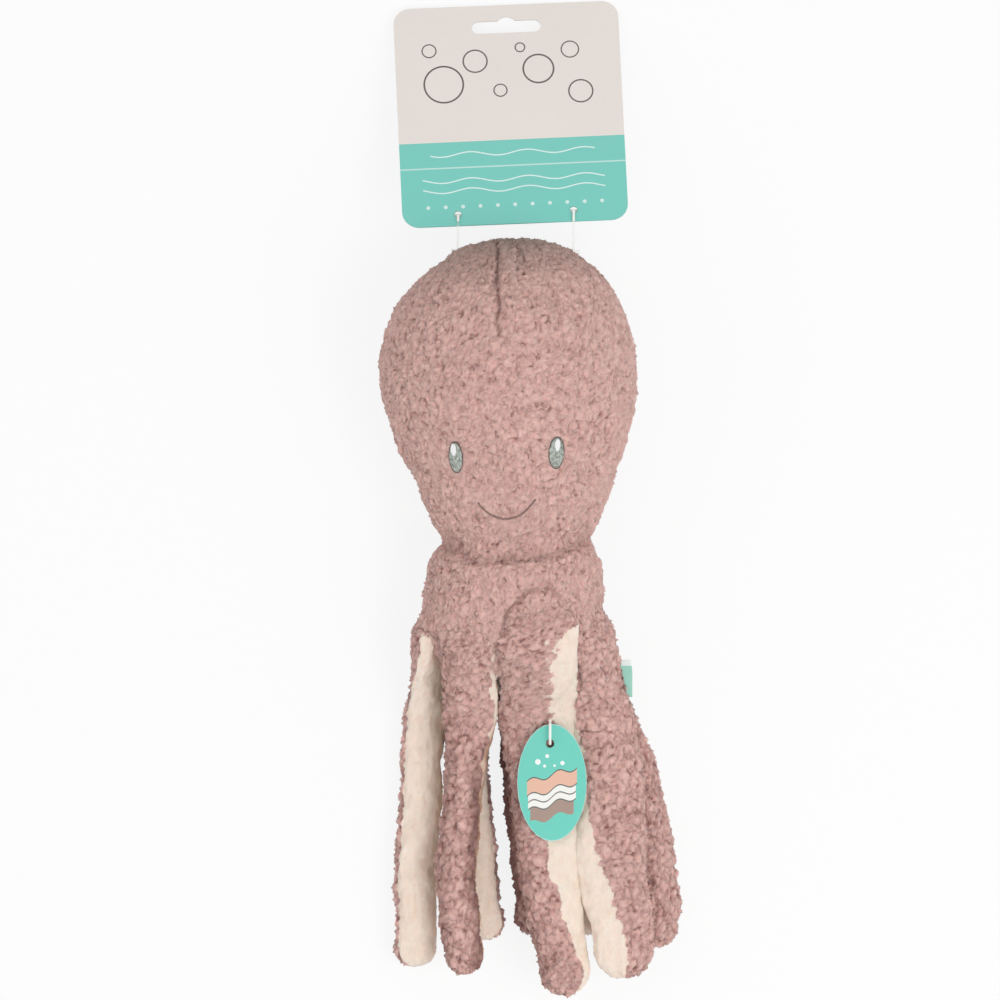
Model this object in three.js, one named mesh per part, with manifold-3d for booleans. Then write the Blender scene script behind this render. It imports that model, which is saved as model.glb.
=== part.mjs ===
// A plush octopus with its hang card and swing tag, in millimetres.
// It lies on its back: +Z is up out of its face, +Y runs to the hang card and +X is the viewer's right.
// The origin is on the flat under the widest part of the head, where the toy rests.
import * as THREE from "three";
import { mergeVertices } from "three/addons/utils/BufferGeometryUtils.js";
import Module from "manifold-3d";

const wasm = await Module();
wasm.setup();

// Fabric and the gaps between sewn pieces
const fabric = 2.2;
const seamGap = 0.3;
const fillGap = 0.5;
const weld = 0.001;

// Head, a balloon that narrows to the neck
const headWidth = 119;
const headDepth = 92;
const headRise = 61;
const headFall = 78;
const crownShift = 4.5;
const restCut = 0.5;

// Neck, a rounded end that bends in a cup in the skirt
const neckWidth = 71;
const neckDepth = 54;
const neckShift = 4;
const neckHeight = 36;
const neckClearance = 0.8;
const neckLip = 8;

// Skirt, the stuffed ring that carries the tentacles
const skirtLength = 46;
const skirtDepth = 60;

// Tentacles
const limbLength = 165;
const limbWidth = 23;
const limbThickness = 15;
const limbSpacing = 1.8;
const frontShift = 8.8;
const layClearance = 0.8;
const floorClearance = 0.3;

// Squeaker in its pouch, in the middle of the head's filling
const bulbRadius = 19;
const bulbHeight = 17;
const bulbWall = 1.2;
const reedRadius = 4;
const reedHeight = 7;
const reedRim = 1.5;
const pouchCloth = 1;
const pouchRoom = 2;
const pouchSlack = 0.9;

// Stitched face
const eyeWidth = 7.6;
const eyeLength = 15;
const eyeThread = 0.9;
const eyeSpread = 46;
const eyeDrop = 39.5;
const eyeShift = -0.8;
const glintWidth = 3;
const glintLength = 6;
const glintThread = 0.5;
const mouthWidth = 26;
const mouthSag = 8;
const mouthDrop = 61;
const mouthShift = 0.2;
const mouthThread = 1.2;

// Hang card and the two plastic fasteners that tie it to the head
const cardWidth = 104;
const cardLength = 109;
const cardThickness = 0.8;
const cardCorner = 8;
const cardStandOff = 13.6;
const slotLength = 32;
const slotHeight = 6;
const slotHump = 5;
const slotInset = 10.9;
const tieHoleRadius = 1.8;
const tieHoleInset = 5.6;
const tieRadius = 0.6;
const tieBarRadius = 0.9;
const tieBarLength = 6;
const tieClearance = 0.4;
const leftTieShare = 0.71;
const rightTieShare = 0.7;
const cardTurnDegrees = 3;

// Swing tag on the front tentacle, and the woven label on the front right one
const tagWidth = 32;
const tagLength = 54;
const tagThickness = 0.6;
const tagShift = 0.9;
const tagHoleRadius = 2;
const tagHoleInset = 9;
const loopDrop = 36.5;
const loopRadius = 0.6;
const loopRise = 2.6;
const loopClearance = 1.5;
const labelLength = 17.5;
const labelReach = 4;
const labelThickness = 0.8;
const labelGap = 0.5;
const labelDrop = 9;

// Counts of facets
const headSides = 10;
const limbSides = 5;
const bulbSides = 24;
const bulbRows = 7;
const dotSides = 14;
const stitchSteps = 10;
const barSides = 10;
const tieSteps = 6;
const loopSteps = 12;
const tubeCurve = 3;
const cardCurve = 5;
const tagCurve = 14;
const rootSteps = 720;
const topSteps = 40;
const labelTurn = 0.2;

// Where rows of points stand: shares of a quarter turn, and shares of a length
const capShares = [0.3, 0.58, 0.82, 1];
const neckShares = [0.16, 0.32, 0.48, 0.64, 0.8, 1];
const domeShares = [0.22, 0.44, 0.64, 0.83, 1];
const headShares = [0, 0.12, 0.3, 0.52, 0.76, 1];
const skirtRowShares = [0, 0.12, 0.36, 0.7, 1];
const skirtWidthShares = [0, 0.82, 0.85, 0.89, 1];
const skirtDepthShares = [0, 0.97, 0.98, 0.99, 1];
const layShare = 0.3;
const taperShare = 0.42;
const limbRowShares = [0, 0.06, 0.12, 0.18, 0.24, layShare, 0.45, 0.6, 0.78, 1];
const limbSwellShares = [0.96, 0.95, 0.94, 0.93, 0.93, 0.94, 0.98, 1, 1, 0.97];
const domedShare = 0.7;
const glintUpShare = 0.5;
const tieBendShare = 0.5;
const tieLiftShare = 0.7;
const tieTopShare = 0.85;

// Each tentacle, clockwise from the front one as the viewer faces its tip: its width at the root,
// its length and its width as shares of the driving sizes, the layer that it lies in, the way its
// flat side faces when it lies, how far its plush side is rolled round from there, and how far right
// its middle is at each share of its length, in tentacle pitches.
const layers = { under: 0, over: 1 };
const pathRowShares = [layShare, 0.48, 0.75, 0.93, 1];
const limbs = [
  {
    name: "front",
    rootShare: 1.5,
    lengthShare: 1,
    widthShare: 1.2,
    layer: layers.over,
    face: 92,
    roll: 66,
    pathShares: [0.36, 0.46, 0.65, 0.79, 0.85],
  },
  {
    name: "front_right",
    rootShare: 1.25,
    lengthShare: 0.95,
    widthShare: 1.3,
    layer: layers.over,
    face: 84,
    roll: -68,
    pathShares: [1.82, 1.9, 1.95, 2.06, 2.08],
  },
  {
    name: "right",
    rootShare: 0.9,
    lengthShare: 0.865,
    widthShare: 1,
    layer: layers.under,
    face: 78,
    roll: -12,
    pathShares: [2.02, 2.34, 2.63, 2.76, 2.72],
  },
  {
    name: "back_right",
    rootShare: 0.85,
    lengthShare: 0.83,
    widthShare: 0.92,
    layer: layers.under,
    face: 275,
    roll: 0,
    pathShares: [1.0, 1.08, 1.22, 1.31, 1.34],
  },
  {
    name: "back",
    rootShare: 0.85,
    lengthShare: 0.83,
    widthShare: 0.88,
    layer: layers.under,
    face: 265,
    roll: -60,
    pathShares: [0, 0.1, 0.26, 0.34, 0.33],
  },
  {
    name: "back_left",
    rootShare: 0.85,
    lengthShare: 0.845,
    widthShare: 0.92,
    layer: layers.under,
    face: 275,
    roll: 20,
    pathShares: [-0.94, -0.92, -0.8, -0.7, -0.6],
  },
  {
    name: "left",
    rootShare: 1.05,
    lengthShare: 0.92,
    widthShare: 0.9,
    layer: layers.under,
    face: 252,
    roll: -24,
    pathShares: [-1.84, -1.92, -2.06, -2.05, -2.08],
  },
  {
    name: "front_left",
    rootShare: 1.2,
    lengthShare: 0.94,
    widthShare: 0.92,
    layer: layers.over,
    face: 92,
    roll: 4,
    pathShares: [-1.0, -1.04, -1.16, -1.08, -1.02],
  },
];

// Worked out from the sizes above
const sink = restCut - seamGap / 2;
const headMiddle = headDepth / 2 - sink;
const skirtMiddle = skirtDepth / 2 + floorClearance;
const skirtTop = -headFall - neckLip;
const skirtEnd = -headFall - skirtLength;
const rootPlane = skirtEnd - seamGap;
const fill = fabric + fillGap;
const pitch = limbWidth + layClearance;
const right = THREE.MathUtils.degToRad(90);

const plush = new THREE.MeshStandardMaterial({ color: 0xcda59e, roughness: 0.95, metalness: 0 });
const lining = new THREE.MeshStandardMaterial({ color: 0xf2e4d6, roughness: 0.9, metalness: 0 });
const stuffing = new THREE.MeshStandardMaterial({ color: 0xfafafa, roughness: 1, metalness: 0 });
const nylon = new THREE.MeshStandardMaterial({ color: 0x8a8580, roughness: 0.7, metalness: 0 });
const silverThread = new THREE.MeshStandardMaterial({ color: 0xa9a9ad, roughness: 0.5, metalness: 0 });
const whiteThread = new THREE.MeshStandardMaterial({ color: 0xf6f6f6, roughness: 0.5, metalness: 0 });
const greyThread = new THREE.MeshStandardMaterial({ color: 0x5c5658, roughness: 0.6, metalness: 0 });
const softPlastic = new THREE.MeshStandardMaterial({ color: 0xdedede, roughness: 0.5, metalness: 0 });
const card = new THREE.MeshStandardMaterial({ color: 0xece4de, roughness: 0.5, metalness: 0 });
const tagCard = new THREE.MeshStandardMaterial({ color: 0x65cfbe, roughness: 0.45, metalness: 0 });
const tiePlastic = new THREE.MeshStandardMaterial({ color: 0xe8e0cc, roughness: 0.3, metalness: 0 });
const woven = new THREE.MeshStandardMaterial({ color: 0xa8ddd2, roughness: 0.8, metalness: 0 });

const octopus = new THREE.Group();
octopus.name = "plush_octopus";

function add(name, geometry, material, group = octopus) {
  const mesh = new THREE.Mesh(geometry, material);
  mesh.name = name;
  group.add(mesh);
  return mesh;
}

// A closed geometry from triangles of points, its faces turned outwards.
function closedGeometry(triangles) {
  const flat = new THREE.BufferGeometry().setFromPoints(triangles.flat());
  const merged = mergeVertices(flat, weld);
  const whole = [];
  const old = merged.index.array;
  for (let i = 0; i < old.length; i += 3) {
    const [a, b, c] = [old[i], old[i + 1], old[i + 2]];
    if (a !== b && b !== c && c !== a) whole.push(a, b, c);
  }
  if (signedVolume(merged.attributes.position, whole) < 0) whole.reverse();
  merged.setIndex(whole);
  merged.computeVertexNormals();
  return merged;
}

function signedVolume(position, index) {
  const [a, b, c] = [new THREE.Vector3(), new THREE.Vector3(), new THREE.Vector3()];
  let six = 0;
  for (let i = 0; i < index.length; i += 3) {
    a.fromBufferAttribute(position, index[i]);
    b.fromBufferAttribute(position, index[i + 1]);
    c.fromBufferAttribute(position, index[i + 2]);
    six += a.dot(b.cross(c));
  }
  return six;
}

// The triangles of a grid of points, row by row.
function gridFaces(grid) {
  const faces = [];
  for (let r = 0; r + 1 < grid.length; r++) {
    for (let s = 0; s + 1 < grid[r].length; s++) {
      const [a, b, c, d] = [grid[r][s], grid[r][s + 1], grid[r + 1][s + 1], grid[r + 1][s]];
      faces.push([a, b, c], [a, c, d]);
    }
  }
  return faces;
}

// A sheet with thickness, between an outer and an inner grid of as many points. Its two long edges
// are split into triangles alike, so that sheets laid edge to edge keep their gap where they twist.
function sheetGeometry(outer, inner) {
  const last = outer.length - 1;
  const end = outer[0].length - 1;
  const column = (grid, at) => grid.map((row) => row[at]);
  const flipped = (faces) => faces.map(([a, b, c]) => [a, c, b]);
  return closedGeometry([
    ...gridFaces(outer),
    ...flipped(gridFaces(inner)),
    ...flipped(gridFaces([outer[0], inner[0]])),
    ...gridFaces([outer[last], inner[last]]),
    ...flipped(gridFaces([column(inner, 0), column(outer, 0)])),
    ...gridFaces([column(inner, end), column(outer, end)]),
  ]);
}

// A solid through closed rings of points, with a fan over each open end.
function ringGeometry(rings) {
  const grid = rings.map((ring) => [...ring, ring[0]]);
  const faces = gridFaces(grid);
  const [first, last] = [rings[0], rings[rings.length - 1]];
  for (let s = 1; s + 1 < first.length; s++) {
    faces.push([first[0], first[s + 1], first[s]]);
    faces.push([last[0], last[s], last[s + 1]]);
  }
  return closedGeometry(faces);
}

// A mesh's geometry as a solid that can be cut, and back again.
function solid(geometry, matrix = new THREE.Matrix4()) {
  const bare = new THREE.BufferGeometry();
  bare.setAttribute("position", geometry.getAttribute("position").clone());
  if (geometry.index) bare.setIndex(geometry.index.clone());
  const merged = mergeVertices(bare.applyMatrix4(matrix), weld);
  const triVerts = new Uint32Array(merged.index.array);
  const vertProperties = merged.attributes.position.array;
  return new wasm.Manifold(new wasm.Mesh({ numProp: 3, vertProperties, triVerts }));
}

function geometryOf(made) {
  const mesh = made.getMesh();
  const geometry = new THREE.BufferGeometry();
  geometry.setAttribute("position", new THREE.BufferAttribute(new Float32Array(mesh.vertProperties), 3));
  geometry.setIndex([...mesh.triVerts]);
  geometry.computeVertexNormals();
  return geometry;
}

// A value that runs smoothly through a table of values at rising shares.
function through(shares, values, at) {
  const last = shares.length - 1;
  let k = 0;
  while (k < last - 1 && at > shares[k + 1]) k++;
  const step = shares[k + 1] - shares[k];
  const t = THREE.MathUtils.clamp((at - shares[k]) / step, 0, 1);
  const slope = (i) => {
    const [low, high] = [Math.max(i - 1, 0), Math.min(i + 1, last)];
    return (values[high] - values[low]) / (shares[high] - shares[low]);
  };
  const [t2, t3] = [t * t, t * t * t];
  const start = (2 * t3 - 3 * t2 + 1) * values[k] + (t3 - 2 * t2 + t) * step * slope(k);
  const finish = (3 * t2 - 2 * t3) * values[k + 1] + (t3 - t2) * step * slope(k + 1);
  return start + finish;
}

// A cross-section is an ellipse in a plane square to the toy's length. Its short axis points to
// `face`, and its seams, which part the panel on the plush side from the one behind, are rolled
// round from its long axis by `roll`. `turn` runs from one seam to the other.
function sectionPoint(section, turn, side) {
  const out = new THREE.Vector2(Math.cos(section.face), Math.sin(section.face));
  const across = new THREE.Vector2(out.y, -out.x);
  const angle = section.roll + turn;
  const reach = section.halfWidth * Math.cos(angle);
  const rise = section.halfThickness * Math.sin(angle);
  const apart = (side * seamGap) / 2;
  const x = section.x + across.x * reach + out.x * rise + Math.cos(section.parting) * apart;
  const z = section.z + across.y * reach + out.y * rise + Math.sin(section.parting) * apart;
  return new THREE.Vector3(x, section.y, z);
}

// The way in which a section's two panels part, square to the line between their seams.
function parting(face, roll, halfWidth, halfThickness) {
  return face + Math.atan2(halfThickness * Math.sin(roll), halfWidth * Math.cos(roll));
}

// Half of a section, for a panel that covers its plush side (1) or the side behind it (-1).
function halfRing(section, sides, side) {
  const start = side > 0 ? 0 : Math.PI;
  const points = [];
  for (let s = 0; s <= sides; s++) {
    points.push(sectionPoint(section, start + (Math.PI * s) / sides, side));
  }
  return points;
}

// The whole of a section, for filling.
function wholeRing(section, sides) {
  const points = [];
  for (let s = 0; s < 2 * sides; s++) points.push(sectionPoint(section, (Math.PI * s) / sides, 0));
  return points;
}

// An upright section of the head or skirt, with its seams at its sides.
function uprightSection(x, y, z, halfWidth, halfThickness) {
  return { x, y, z, face: right, roll: 0, parting: right, halfWidth, halfThickness };
}

function panelGeometry(sections, sides, side) {
  const outer = sections(0).map((section) => halfRing(section, sides, side));
  const inner = sections(fabric).map((section) => halfRing(section, sides, side));
  return sheetGeometry(outer, inner);
}

// Head: sections from the rounded end of the neck to the crown, set in by a thickness.
function headSections(inset) {
  const crown = (share) =>
    uprightSection(
      crownShift * share,
      (headRise - inset) * Math.sin(right * share),
      headMiddle,
      (headWidth / 2 - inset) * Math.cos(right * share),
      (headDepth / 2 - inset) * Math.cos(right * share),
    );
  const below = [...neckShares].reverse().map((share) => neckSection(-share, -inset));
  const middle = headShares.map((share) => headSection(share, inset));
  return [...below, ...middle, ...domeShares.map(crown)];
}

// A section between the neck (0) and the widest part of the head (1), which swells as a sine does
// and whose back curves down to the floor.
function headSection(share, inset) {
  const full = Math.sin(right * share);
  const halfDepth = (neckDepth + (headDepth - neckDepth) * full) / 2;
  const neckRise = neckHeight - neckDepth / 2 + sink;
  return uprightSection(
    neckShift * (1 - share),
    -headFall * (1 - share),
    halfDepth - sink + neckRise * (1 - share) ** 2,
    (neckWidth + (headWidth - neckWidth) * full) / 2 - inset,
    halfDepth - inset,
  );
}

// A section of the neck's rounded end, which turns about the neck's middle, grown by a thickness.
function neckSection(share, grow) {
  return uprightSection(
    neckShift,
    -headFall + (neckDepth / 2 + grow) * Math.sin(right * share),
    neckHeight,
    (neckWidth / 2 + grow) * Math.cos(right * share),
    (neckDepth / 2 + grow) * Math.cos(right * share),
  );
}

// The height of the face's surface below the head's widest part.
function faceHeight(x, y) {
  const section = headSection(1 + y / headFall, 0);
  const across = (x - section.x) / section.halfWidth;
  return section.z + seamGap / 2 + section.halfThickness * Math.sqrt(1 - across * across);
}

// The thickness upwards of something laid square on the face, where the face slopes.
function faceLift(x, y, thickness) {
  const step = fabric;
  const dx = (faceHeight(x + step, y) - faceHeight(x - step, y)) / (2 * step);
  const dy = (faceHeight(x, y + step) - faceHeight(x, y - step)) / (2 * step);
  return thickness * Math.hypot(1, dx, dy);
}

// Where the two card fasteners stand in the head's top seam.
function tieLine() {
  const seam = (side, share) =>
    new THREE.Vector3(
      crownShift * share + ((side * headWidth) / 2) * Math.cos(right * share),
      headRise * Math.sin(right * share),
      headMiddle,
    );
  return { left: seam(-1, leftTieShare), right: seam(1, rightTieShare) };
}

function barGeometry(radius, length) {
  return new THREE.CylinderGeometry(radius, radius, length, barSides).rotateZ(right);
}

// A matrix that lays something along the line between the two fasteners, at one of them.
function tieMatrix(at) {
  const { left, right: end } = tieLine();
  const turn = Math.atan2(end.y - left.y, end.x - left.x);
  return new THREE.Matrix4().makeRotationZ(turn).setPosition(at);
}

function tieHoles() {
  const { left, right: end } = tieLine();
  const hole = barGeometry(tieBarRadius + tieClearance, tieBarLength + 2 * tieClearance);
  return solid(hole, tieMatrix(left)).add(solid(hole, tieMatrix(end)));
}

// The slab below the toy, which cuts its resting place flat.
function belowFloor() {
  const slab = new THREE.BoxGeometry(headWidth, 2 * headFall, headDepth);
  return solid(slab, new THREE.Matrix4().makeTranslation(0, 0, -headDepth / 2));
}

function makeHead() {
  const front = solid(panelGeometry(headSections, headSides, 1)).subtract(tieHoles());
  add("head_front_panel", geometryOf(front), plush);
  const back = solid(panelGeometry(headSections, headSides, -1)).subtract(tieHoles());
  add("head_back_panel", geometryOf(back.subtract(belowFloor())), plush);

  const pocket = solid(pouchOuter(pouchSlack), squeakerPlace());
  for (const [name, side] of [["head_filling_front", 1], ["head_filling_back", -1]]) {
    const rows = headSections(fill).map((section) => halfRing(section, headSides, side));
    const half = solid(ringGeometry(rows));
    add(name, geometryOf(half.subtract(pocket)), stuffing);
  }
}

// Squeaker: a hollow bulb with a reed in its mouth, in a closed pouch.
function squeakerPlace() {
  return new THREE.Matrix4().makeRotationX(right).setPosition(0, 0, headMiddle);
}

function ovalProfile(radius, height, from, to) {
  const points = [];
  for (let k = 0; k <= bulbRows; k++) {
    const turn = THREE.MathUtils.lerp(from, to, k / bulbRows);
    points.push(new THREE.Vector2(radius * Math.cos(turn), height * Math.sin(turn)));
  }
  return points;
}

function pouchOuter(extra) {
  const grow = pouchRoom + pouchCloth + extra;
  const profile = ovalProfile(bulbRadius + grow, bulbHeight / 2 + grow, -right, right);
  profile[0].x = 0;
  profile[profile.length - 1].x = 0;
  return new THREE.LatheGeometry(profile, bulbSides);
}

// A hollow oval of revolution, open at its top by a round mouth.
function hollowOval(radius, height, wall, mouth) {
  const outerEnd = Math.acos(mouth / radius);
  const innerEnd = Math.acos(mouth / (radius - wall));
  const outer = ovalProfile(radius, height, -right, outerEnd);
  const inner = ovalProfile(radius - wall, height - wall, innerEnd, -right);
  outer[0].x = 0;
  inner[inner.length - 1].x = 0;
  return new THREE.LatheGeometry([...outer, ...inner], bulbSides);
}

function makeSqueaker() {
  const pouch = hollowOval(
    bulbRadius + pouchRoom + pouchCloth,
    bulbHeight / 2 + pouchRoom + pouchCloth,
    pouchCloth,
    reedRadius,
  );
  const mouth = reedRadius + seamGap;
  const bulb = hollowOval(bulbRadius, bulbHeight / 2, bulbWall, mouth);
  const mouthTop = (bulbHeight / 2) * Math.sqrt(1 - (mouth / bulbRadius) ** 2);
  const flange = mouthTop + seamGap;
  const reed = new THREE.LatheGeometry(
    [
      new THREE.Vector2(0, flange - reedHeight),
      new THREE.Vector2(reedRadius, flange - reedHeight),
      new THREE.Vector2(reedRadius, flange),
      new THREE.Vector2(reedRadius + reedRim, flange),
      new THREE.Vector2(reedRadius + reedRim, flange + bulbWall),
      new THREE.Vector2(0, flange + bulbWall),
    ],
    bulbSides,
  );
  const inside = new THREE.Group();
  inside.applyMatrix4(squeakerPlace());
  octopus.add(inside);
  add("squeaker_pouch", pouch, nylon, inside);
  add("squeaker_bulb", bulb, softPlastic, inside);
  add("squeaker_reed", reed, softPlastic, inside);
}

// A stitched oval that follows the face, its lowest side `base` above it.
function stitchedOval(x, y, width, length, base, thickness) {
  const rowAt = (share, high) => {
    const ring = [];
    for (let s = 0; s < dotSides; s++) {
      const turn = (2 * Math.PI * s) / dotSides;
      const px = x + (width / 2) * share * Math.cos(turn);
      const py = y + (length / 2) * share * Math.sin(turn);
      ring.push(new THREE.Vector3(px, py, faceHeight(px, py) + faceLift(px, py, high)));
    }
    return ring;
  };
  const top = base + thickness;
  const edge = base + thickness / 2;
  return ringGeometry([
    rowAt(0, base),
    rowAt(1, base),
    rowAt(1, edge),
    rowAt(domedShare, top),
    rowAt(0, top),
  ]);
}

function makeFace() {
  const glintBase = seamGap + eyeThread + seamGap;
  for (const [name, side] of [["left", -1], ["right", 1]]) {
    const x = eyeShift + (side * eyeSpread) / 2;
    add(`eye_${name}`, stitchedOval(x, -eyeDrop, eyeWidth, eyeLength, seamGap, eyeThread), silverThread);
    const up = -eyeDrop + (glintUpShare * eyeLength) / 2;
    const glint = stitchedOval(x, up, glintWidth, glintLength, glintBase, glintThread);
    add(`eye_${name}_glint`, glint, whiteThread);
  }
  add("mouth", mouthGeometry(), greyThread);
}

// The mouth: one sagging row of thread along the face.
function mouthGeometry() {
  const rings = [];
  for (let k = 0; k <= stitchSteps; k++) {
    const across = (2 * k) / stitchSteps - 1;
    const x = mouthShift + (across * mouthWidth) / 2;
    const y = -mouthDrop - mouthSag * (1 - across * across);
    const slope = (4 * mouthSag * across) / mouthWidth;
    const away = new THREE.Vector2(-slope, 1).normalize().multiplyScalar(mouthThread / 2);
    const corner = (side, high) => {
      const [px, py] = [x + side * away.x, y + side * away.y];
      return new THREE.Vector3(px, py, faceHeight(px, py) + faceLift(px, py, high));
    };
    const top = seamGap + mouthThread;
    rings.push([corner(-1, seamGap), corner(1, seamGap), corner(1, top), corner(-1, top)]);
  }
  return ringGeometry(rings);
}

// The roots stand round an ellipse that is just long enough for all of them.
const ringDepth = (skirtDepth - limbThickness) / 2;
const ringLength = limbs.reduce((sum, limb) => sum + limb.rootShare * limbWidth + limbSpacing, 0);
const ringWidth = Math.sqrt(2 * (ringLength / (2 * Math.PI)) ** 2 - ringDepth ** 2);
const skirtWidth = 2 * ringWidth + limbThickness;

// Skirt: sections from its lip round the neck to the plane of the roots.
function skirtSections(inset) {
  const drop = Math.sqrt(1 - (neckLip / (neckDepth / 2)) ** 2);
  const lipWidth = (neckWidth / 2) * drop + neckClearance + fabric;
  const lipDepth = (neckDepth / 2) * drop + neckClearance + fabric;
  return skirtRowShares.map((share, k) =>
    uprightSection(
      neckShift,
      skirtTop + (skirtEnd - skirtTop) * share,
      neckHeight + (skirtMiddle - neckHeight) * share,
      Math.max(lipWidth, (skirtWidthShares[k] * skirtWidth) / 2) - inset,
      Math.max(lipDepth, (skirtDepthShares[k] * skirtDepth) / 2) - inset,
    ),
  );
}

function neckCup() {
  const rows = [...neckShares].reverse().map((share) => -share);
  const sections = [...rows, 0, ...neckShares].map((share) => neckSection(share, neckClearance));
  return solid(ringGeometry(sections.map((section) => wholeRing(section, headSides))));
}

// The section that stands a height above the last of some rows, between it and the row before.
function sectionAbove(rows, height) {
  const [before, last] = rows.slice(-2);
  const share = height / (before.y - last.y);
  const mixed = { ...last };
  for (const key of ["x", "y", "z", "halfWidth", "halfThickness"]) {
    mixed[key] = THREE.MathUtils.lerp(last[key], before[key], share);
  }
  return mixed;
}

function makeSkirt() {
  const cup = neckCup();
  const front = solid(panelGeometry(skirtSections, headSides, 1)).subtract(cup);
  const back = solid(panelGeometry(skirtSections, headSides, -1)).subtract(cup);
  add("skirt_front_panel", geometryOf(front), plush);
  add("skirt_back_panel", geometryOf(back), plush);

  const rows = skirtSections(fill);
  const end = rows[rows.length - 1];
  const baseTop = sectionAbove(rows, fabric);
  add("base_panel", ringGeometry([end, baseTop].map((row) => wholeRing(row, headSides))), lining);
  const packed = [...rows.slice(0, -1), sectionAbove(rows, fill)];
  const filling = solid(ringGeometry(packed.map((row) => wholeRing(row, headSides)))).subtract(cup);
  add("skirt_filling", geometryOf(filling), stuffing);
}

// Root of each tentacle: the place on the ellipse at its share of the way round, and its slope there.
function placeRoots() {
  const points = [];
  let walked = 0;
  for (let k = 0; k <= rootSteps; k++) {
    const turn = right - (2 * Math.PI * k) / rootSteps;
    const point = new THREE.Vector2(ringWidth * Math.cos(turn), ringDepth * Math.sin(turn));
    if (k) walked += point.distanceTo(points[k - 1].point);
    points.push({ point, turn, walked });
  }
  const perWidth = walked / ringLength;
  let at = frontShift;
  for (const limb of limbs) {
    const half = (limb.rootShare * limbWidth + limbSpacing) / 2;
    at += limb === limbs[0] ? 0 : half * perWidth;
    const found = points.find((place) => place.walked >= at % walked);
    const normal = new THREE.Vector2(Math.cos(found.turn) / ringWidth, Math.sin(found.turn) / ringDepth);
    limb.root = { x: neckShift + found.point.x, z: skirtMiddle + found.point.y };
    limb.rootFace = Math.atan2(normal.y, normal.x);
    at += half * perWidth;
  }
}

// Half the height of a lying tentacle whose plush side faces the given way.
function lyingRise(limb) {
  const turn = THREE.MathUtils.degToRad(limb.face);
  const halfWidth = (limb.widthShare * limbWidth) / 2;
  return Math.hypot(halfWidth * Math.cos(turn), (limbThickness / 2) * Math.sin(turn));
}

function layerFloor(layer) {
  if (layer === layers.under) return floorClearance;
  const tops = limbs.filter((limb) => limb.layer === layers.under).map((limb) => 2 * lyingRise(limb));
  return floorClearance + Math.max(...tops) + layClearance;
}

// The section of a tentacle at a share of its length.
function limbSection(limb, share, inset) {
  const ease = THREE.MathUtils.smoothstep(share, 0, layShare);
  const lie = THREE.MathUtils.degToRad(limb.face);
  const turned = lie - limb.rootFace;
  const nearest = turned - 2 * Math.PI * Math.round(turned / (2 * Math.PI));
  const swell = through(limbRowShares, limbSwellShares, share);
  const taper = THREE.MathUtils.smoothstep(share, 0, taperShare);
  const widthShare = THREE.MathUtils.lerp(limb.rootShare, limb.widthShare, taper);
  const halfWidth = (widthShare * limbWidth * swell) / 2;
  const halfThickness = (limbThickness * swell) / 2;
  const face = limb.rootFace + nearest * ease;
  const roll = THREE.MathUtils.degToRad(limb.roll) * ease;
  const places = [limb.root.x, ...limb.pathShares.map((pathShare) => neckShift + pathShare * pitch)];
  return {
    x: through([0, ...pathRowShares], places, share),
    y: rootPlane - share * limb.bodyLength,
    z: THREE.MathUtils.lerp(limb.root.z, layerFloor(limb.layer) + lyingRise(limb), ease),
    face,
    roll,
    parting: parting(face, roll, halfWidth, halfThickness),
    halfWidth: halfWidth - inset,
    halfThickness: halfThickness - inset,
  };
}

// Sections from the root to the rounded tip.
function limbSections(limb, inset) {
  const rows = limbRowShares.map((share) => limbSection(limb, share, inset));
  const end = rows[rows.length - 1];
  const tip = capShares.map((share) => ({
    ...end,
    y: end.y - (limb.tipLength - inset) * Math.sin(right * share),
    halfWidth: end.halfWidth * Math.cos(right * share),
    halfThickness: end.halfThickness * Math.cos(right * share),
  }));
  return [...rows, ...tip];
}

function makeLimbs() {
  placeRoots();
  for (const limb of limbs) {
    limb.tipLength = (limb.widthShare * limbWidth) / 2;
    limb.bodyLength = limb.lengthShare * limbLength - limb.tipLength;
    const sections = (inset) => limbSections(limb, inset);
    const name = `tentacle_${limb.name}`;
    add(`${name}_plush`, panelGeometry(sections, limbSides, 1), plush);
    add(`${name}_lining`, panelGeometry(sections, limbSides, -1), lining);
    const core = ringGeometry(sections(fill).map((row) => wholeRing(row, limbSides)));
    add(`${name}_filling`, core, stuffing);
  }
}

// A tube along a curve, closed at both ends.
function tubeGeometry(points, radius, steps) {
  const ring = new THREE.Shape().absarc(0, 0, radius, 0, 2 * Math.PI);
  const extrudePath = new THREE.CatmullRomCurve3(points);
  const curveSegments = tubeCurve;
  return new THREE.ExtrudeGeometry(ring, { steps, extrudePath, curveSegments, bevelEnabled: false });
}

// Hang card: a rounded board with a hanging slot, built flat from the hinge line along +Y.
function cardOutline() {
  const [w, l, r] = [cardWidth / 2, cardLength, cardCorner];
  const outline = new THREE.Shape();
  outline.moveTo(-w + r, 0).lineTo(w - r, 0).absarc(w - r, r, r, -right, 0);
  outline.lineTo(w, l - r).absarc(w - r, l - r, r, 0, right);
  outline.lineTo(-w + r, l).absarc(-w + r, l - r, r, right, Math.PI);
  outline.lineTo(-w, r).absarc(-w + r, r, r, Math.PI, Math.PI + right);
  return outline;
}

function slotOutline() {
  const [h, r] = [slotLength / 2, slotHeight / 2];
  const middle = cardLength - slotInset;
  const meet = Math.asin(r / slotHump);
  const slot = new THREE.Path();
  slot.absarc(-h + r, middle, r, right, Math.PI + right);
  slot.absarc(h - r, middle, r, -right, right);
  slot.absarc(0, middle, slotHump, meet, Math.PI - meet);
  return slot;
}

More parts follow.
